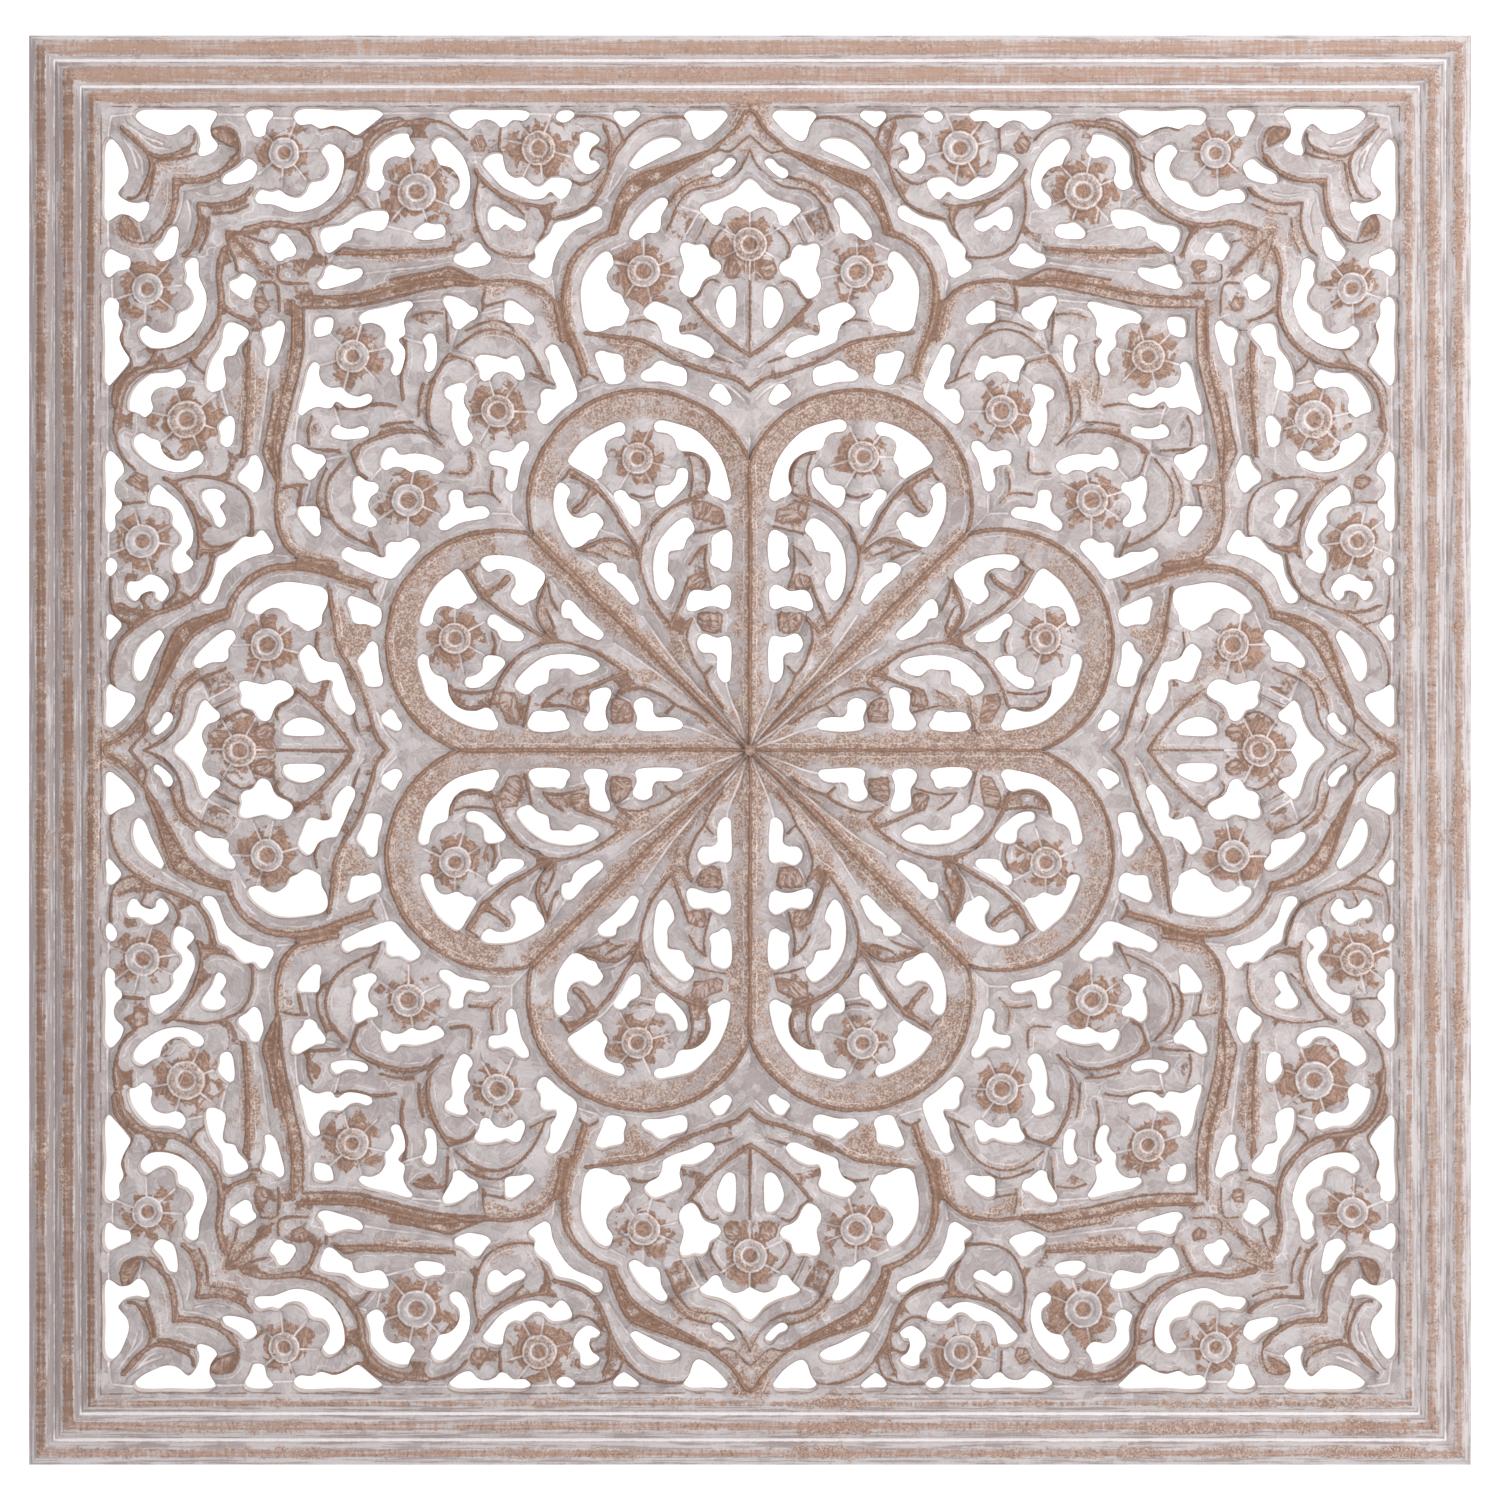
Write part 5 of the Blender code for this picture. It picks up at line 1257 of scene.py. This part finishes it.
class FaceShader(Shader):
    """The nodes of the carved face: the patterns and zones that its layers share, and the layers."""

    flat_size: float = 9.0
    turns: float = 6.3
    stroke_shape: Tuple[float, float, float] = (0.16, 1.0, 1.0)
    seam_place: float = 46.1
    echo_place: float = 2.7

    def __init__(self, name: str) -> None:
        """Starts the material with the shared patterns and zones.

        Args:
            name: the material's name.
        """
        super().__init__(name)
        self.fine, self.grain = self.noise(1.5, 3.0, 0.6), self.noise(0.8, 3.0, 0.7)
        self.cloud, self.patchy = self.noise(5.0, 4.0, 0.65), self.noise(14.0, 3.0, 0.6)
        self.drift = self.noise(90.0)
        self.bare, self.bloom, self.pit = self.value("bare"), self.value("bloom"), self.value("pit")
        # tone carries the painted light of each rail, set in CarvedBoard.rub
        self.edge, self.tone = self.value("edge"), self.value("tone")
        self.border = self.below(self.edge, 42.0, 45.0)
        self.carved = self.math("SUBTRACT", 1.0, self.border)
        along, across = self.on_rails()
        self.reeds = self.noise(1.6, 2.0, 0.55, self.spread(along, 0.035, across, 1.0))
        ticks = self.noise(2.2, 1.0, 0.5, self.spread(along, 1.0, across, 0.14))
        self.ticks = self.times(self.math("SUBTRACT", ticks, 0.5), self.border)
        self.flat, self.strokes = self.facets()

    def on_rails(self) -> Tuple[bpy.types.NodeSocket, bpy.types.NodeSocket]:
        """Place along and across whichever rail of the border is nearest."""
        x, _, z = self.axes(self.place)
        height = self.times(self.math("ABSOLUTE", z), 1 / HEIGHT_TO_WIDTH)
        is_upright = self.math("GREATER_THAN", self.math("ABSOLUTE", x), height)
        return self.node("Mix", {0: is_upright, 2: x, 3: z}), self.node("Mix", {0: is_upright, 2: z, 3: x})

    def spread(self, along: object, along_scale: float, across: object,
               across_scale: float) -> bpy.types.NodeSocket:
        """A place on a rail, scaled by its own amount each way."""
        return self.node("CombineXYZ", {0: self.times(along, along_scale),
                                        1: self.times(across, across_scale)})

    def facets(self) -> Tuple[bpy.types.NodeSocket, bpy.types.NodeSocket]:
        """Small flats as a chisel leaves them: the tone of each, and its strokes, which all run one way."""
        swayed = self.node("VectorMath", {0: self.place, 3: 1 / self.flat_size}, operation="SCALE")
        swayed = self.node("VectorMath", {0: swayed, 1: self.times(self.cloud, 0.9)}, operation="ADD")
        cells = self.node("TexVoronoi", {"Vector": swayed, "Scale": 1.0}, "Color")
        tone, turn, _ = self.axes(cells)
        turned = self.node("VectorRotate", {"Vector": self.place, "Angle": self.times(turn, self.turns)},
                           rotation_type="Y_AXIS")
        drawn_out = self.node("VectorMath", {0: turned, 1: self.stroke_shape}, operation="MULTIPLY")
        return tone, self.noise(1.5, 2.0, 0.6, drawn_out)

    def rubbed(self) -> bpy.types.NodeSocket:
        """Where rubbing has gone through to the wood: crests, pits of flowers, and the skirt of a ring."""
        ragged = self.times(self.math("SUBTRACT", self.fine, 0.5), 1.5)
        ragged = self.swayed(ragged, (self.patchy, 3.0), (self.cloud, 1.6), (self.drift, 2.0))
        even = self.total(1.0, (self.border, -0.6))
        crest = self.below(self.total(self.bare, (ragged, even), (self.ticks, 2.8)), -0.35, 0.35)
        heart = self.below(self.bloom, self.math("SUBTRACT", self.pit, 0.16),
                           self.math("SUBTRACT", self.pit, 0.04))
        frayed = self.swayed(self.bloom, (self.cloud, 0.9), (self.patchy, 2.0), (self.flat, 1.1))
        skirt = self.times(self.step(self.bloom, 1.03, 1.12), self.below(frayed, 1.68, 1.76))
        return self.most(crest, heart, skirt)

    def spared(self) -> bpy.types.NodeSocket:
        """Where wash is left inside the rubbed zones: streaks on the border, strokes on wide flats."""
        streaks = self.total(self.times(self.cloud, 0.3), (self.patchy, 0.5), (self.ticks, 0.35),
                             (self.reeds, 0.5))
        streaks = self.times(self.step(streaks, 0.56, 0.84), self.border)
        deep = self.times(self.below(self.bare, -2.0, -1.2), self.carved,
                          self.step(self.strokes, 0.44, 0.58))
        return self.most(streaks, self.times(deep, 0.75))

    def rubbed_edges(self) -> bpy.types.NodeSocket:
        """Dark lines where the bare wood ends, and round each flower's ring."""
        line = self.swayed(self.math("ADD", self.bare, 0.45), (self.fine, 0.8))
        line = self.times(self.below(self.math("ABSOLUTE", line), 0.25, 0.95), self.carved)
        collar = self.math("SUBTRACT", self.bloom, self.total(1.08, (self.cloud, 0.16)))
        return self.most(line, self.below(self.math("ABSOLUTE", collar), 0.03, 0.12))

    def speckles(self) -> bpy.types.NodeSocket:
        """How speckled each place is: the rubbed zones, and the upper part of every slope."""
        near_crest = self.times(self.step(self.value("rise"), 0.45, 1.0), 0.24)
        uneven = self.swayed(self.total(near_crest, (self.value("worn"), 0.42)), (self.cloud, 0.7),
                             (self.patchy, 0.7), (self.drift, 0.9), (self.grain, 0.5))
        return self.step(uneven, 0.12, 0.36)

    def seam(self) -> bpy.types.NodeSocket:
        """Painted shadow: the dark line in the gap between the border and the carving, broken here and
        there.
        """
        line = self.math("ADD", self.total(-self.seam_place, (self.fine, 0.8)), self.edge)
        line = self.math("ABSOLUTE", line)
        return self.times(self.below(line, 0.2, 0.7), self.step(self.patchy, 0.42, 0.55))

    def echo(self) -> bpy.types.NodeSocket:
        """Pale lines that follow the crests a little way off."""
        line = self.swayed(self.math("SUBTRACT", self.bare, self.echo_place), (self.cloud, 3.2))
        line = self.below(self.math("ABSOLUTE", line), 0.12, 0.5)
        return self.times(line, self.carved, self.step(self.patchy, 0.44, 0.56))

    def sill(self) -> bpy.types.NodeSocket:
        """The worn rims of the windows."""
        rim = self.swayed(self.value("rim"), (self.patchy, 3.0))
        return self.times(self.below(rim, 0.1, 1.1), self.carved)

    def circles(self) -> bpy.types.NodeSocket:
        """The two painted circles of a flower, on the lip of its pit and round its ring."""
        bloom = self.swayed(self.bloom, (self.cloud, 0.28))
        inner = self.math("ABSOLUTE", self.math("SUBTRACT", bloom, self.pit))
        outer = self.math("ABSOLUTE", self.math("SUBTRACT", bloom, 1.03))
        circles = self.below(self.math("MINIMUM", inner, outer), 0.02, 0.1)
        return self.times(circles, self.total(0.22, (self.step(self.strokes, 0.35, 0.65), 0.4)))

    def painted(self, cut: bpy.types.NodeSocket) -> bpy.types.NodeSocket:
        """Where paint lies thick: in the cuts and grooves, round the flowers, and beside the crests.

        Args:
            cut: uneven distance from the nearest cut or groove, in millimetres.

        Returns:
            How much paint there is.
        """
        broken = self.most(self.border, self.total(0.35, (self.step(self.patchy, 0.35, 0.6), 0.5)))
        line = self.times(self.below(cut, 0.25, 0.95), broken, 0.85)
        return self.most(self.circles(), line, self.times(self.echo(), 0.42))


@dataclass(frozen=True)
class WashedFace:
    """The carved face: a pale grey wash over brown board, rubbed through on the crests."""

    wash: Tuple[Colour, Colour] = ((157, 146, 145), (193, 186, 187))
    wood: Tuple[Colour, Colour] = ((130, 99, 82), (168, 138, 122))
    speckled: Tuple[Colour, Colour] = ((139, 111, 97), (190, 173, 165))
    # dark brown of the bare wood's ragged edges, also used for the painted shadow of the seam
    bare_edge_and_seam_shadow: Colour = (108, 79, 63)
    # painted shade that darkens the flanks of the cuts and grooves
    groove_shade: Colour = (136, 120, 114)
    edge: Colour = (126, 102, 89)
    paint: Colour = (238, 231, 232)
    matt: float = 0.7
    depth: float = 0.4
    gloss: float = 0.25

    def material(self) -> bpy.types.Material:
        """The finish as nodes."""
        s = FaceShader("washed_face")
        reeds = s.times(s.math("SUBTRACT", s.reeds, 0.5), s.border)
        # the rails' tone, here and in the wood's streaks below, is painted light
        tone = s.total(s.times(s.flat, 0.2), (s.strokes, 0.38), (s.drift, 0.32), (s.fine, 0.12),
                       (reeds, 2.2), (s.tone, 0.3))
        wash = s.blend(s.step(tone, 0.3, 0.7), *self.wash)
        fleck = s.total(s.times(s.noise(1.3, 2.0, 0.6), 0.65), (s.cloud, 0.35))
        speckled = s.blend(s.step(fleck, 0.42, 0.62), *self.speckled)
        streak = s.total(s.times(s.fine, 0.4), (s.strokes, 0.6), (s.tone, 0.25))
        wood = s.blend(s.step(streak, 0.4, 0.62), *self.wood)
        wood = s.blend(s.times(s.rubbed_edges(), 0.55), wood, self.bare_edge_and_seam_shadow)
        bare = s.times(s.rubbed(), s.total(0.93, (s.spared(), -0.72)))
        colour = s.blend(bare, s.blend(s.speckles(), wash, speckled), wood)
        cut = s.swayed(s.value("light"), (s.cloud, 1.2))
        # Layers over the colour: the painted shadow of the seam, the worn window rims, painted shade beside
        # the cuts and grooves, and the pale paint in them
        for layer, amount, shade in ((s.seam(), 0.75, self.bare_edge_and_seam_shadow), (s.sill(), 0.6, self.edge),
                                     (s.below(cut, 0.8, 2.4), 0.2, self.groove_shade),
                                     (s.painted(cut), 1.0, self.paint)):
            colour = s.blend(s.times(layer, amount), colour, shade)
        relief = s.total(s.times(s.fine, 0.4), (s.cloud, 0.8), (s.grain, 0.35), (s.strokes, 0.9),
                         (s.ticks, 0.6), (reeds, 0.8))
        return s.finish(colour, s.total(self.matt, (bare, 0.12)), relief, self.depth, self.gloss)


@dataclass(frozen=True)
class WashedWall:
    """The walls of the windows and the board's sides: wash run over sawn wood."""

    wash: Colour = (206, 197, 194)
    stain: Colour = (160, 138, 126)
    matt: float = 0.78
    depth: float = 0.2
    gloss: float = 0.2

    def material(self) -> bpy.types.Material:
        """The finish as nodes."""
        s = Shader("washed_wall")
        grain, cloud = s.noise(1.2, 3.0, 0.6), s.noise(6.0, 3.0)
        worn = s.step(s.total(s.times(cloud, 0.5), (grain, 0.5)), 0.5, 0.66)
        colour = s.blend(s.times(worn, 0.7), self.wash, self.stain)
        return s.finish(colour, s.total(self.matt, (worn, 0.1)), grain, self.depth, self.gloss)


@dataclass(frozen=True)
class PlainBack:
    """The back: bare board with a thin overspray of wash."""

    board: Tuple[Colour, Colour] = ((146, 117, 92), (170, 142, 115))
    spray: Colour = (196, 184, 174)
    matt: float = 0.8
    depth: float = 0.12
    gloss: float = 0.2

    def material(self) -> bpy.types.Material:
        """The finish as nodes."""
        s = Shader("plain_back")
        fibre, cloud, drift = s.noise(0.8, 3.0, 0.7), s.noise(5.0, 3.0), s.noise(60.0, 3.0)
        tone = s.total(s.times(drift, 0.55), (fibre, 0.45))
        colour = s.blend(s.step(tone, 0.38, 0.62), *self.board)
        mist = s.step(s.total(s.times(drift, 0.4), (cloud, 0.6)), 0.5, 0.68)
        colour = s.blend(s.times(mist, 0.45), colour, self.spray)
        return s.finish(colour, s.total(self.matt, (mist, 0.08)), fibre, self.depth, self.gloss)


@dataclass
class Studio:
    """The pale floor, the soft light from above and in front, and the camera."""

    distance: float = 3.0
    raised: float = 0.115
    seen_width: float = 0.9509
    face: float = -0.013
    sensor: float = 36.0
    floor_level: float = -0.78
    floor_size: float = 30.0
    floor_shades: Tuple[Colour, Colour] = ((243, 243, 243), (247, 247, 247))
    lamp_place: Tuple[float, float, float] = (1.6, -2.0, 1.5)
    lamp_size: float = 1.3
    lamp_power: float = 60.0

    def set_up(self) -> None:
        """Makes the floor, the light and the camera."""
        self.floor()
        self.sky()
        self.lamp()
        self.camera()

    def floor(self) -> None:
        """A plain pale floor, below the hanging board."""
        bpy.ops.object.select_all(action="DESELECT")
        bpy.ops.mesh.primitive_plane_add(size=self.floor_size, location=(0, 0, self.floor_level))
        floor = bpy.context.object
        floor.name = "floor"
        floor.data.transform(floor.matrix_world)
        floor.matrix_world.identity()
        s = Shader("pale_floor")
        colour = s.blend(s.noise(300.0), *self.floor_shades)
        floor.data.materials.append(s.finish(colour, 0.9, s.noise(2.0), 0.01, 0.1))

    @staticmethod
    def sky() -> None:
        """Soft white light all round, stronger from above and weaker from in front."""
        world = bpy.data.worlds.new("studio")
        bpy.context.scene.world = world
        world.use_nodes = True
        n = Nodes(world.node_tree)
        _, depth, height = n.axes(n.node("TexCoord", {}, "Generated"))
        above = n.step(height, -1.0, 1.0, 0.6, 1.45, "LINEAR")
        behind = n.step(depth, -0.8, 0.4, 0.37, 1.15)
        light = n.node("Background", {"Color": (1.0, 1.0, 1.0, 1.0), "Strength": n.times(above, behind)})
        n.node("OutputWorld", {"Surface": light})

    def lamp(self) -> None:
        """A square soft lamp that faces the board's middle."""
        data = bpy.data.lights.new("key", "AREA")
        data.size, data.energy = self.lamp_size, self.lamp_power
        lamp = bpy.data.objects.new("key", data)
        bpy.context.scene.collection.objects.link(lamp)
        lamp.location = self.lamp_place
        lamp.rotation_euler = (-Vector(self.lamp_place)).to_track_quat("-Z", "Y").to_euler()

    def camera(self) -> None:
        """A level camera a little above the middle, framed by its shift."""
        data = bpy.data.cameras.new("camera")
        data.sensor_width = self.sensor
        data.lens = self.sensor * self.distance / self.seen_width
        data.shift_y = -self.raised / self.seen_width
        data.clip_end = 60.0
        camera = bpy.data.objects.new("camera", data)
        bpy.context.scene.collection.objects.link(camera)
        camera.location = (0, self.face - self.distance, self.raised)
        camera.rotation_euler = (math.pi / 2, 0, 0)
        bpy.context.scene.camera = camera


def main() -> None:
    """Builds the board, which notes its size, and the studio."""
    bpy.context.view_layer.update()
    pattern = Pattern()
    pattern.lay_out()
    board = CarvedBoard(Relief(pattern)).build()
    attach(board, "root")
    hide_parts("fretwork_panel")
    Studio().set_up()
    bpy.context.scene.view_settings.view_transform = "Standard"


if __name__ == "__main__":
    logging.basicConfig(level=logging.INFO, format="%(message)s")
    main()
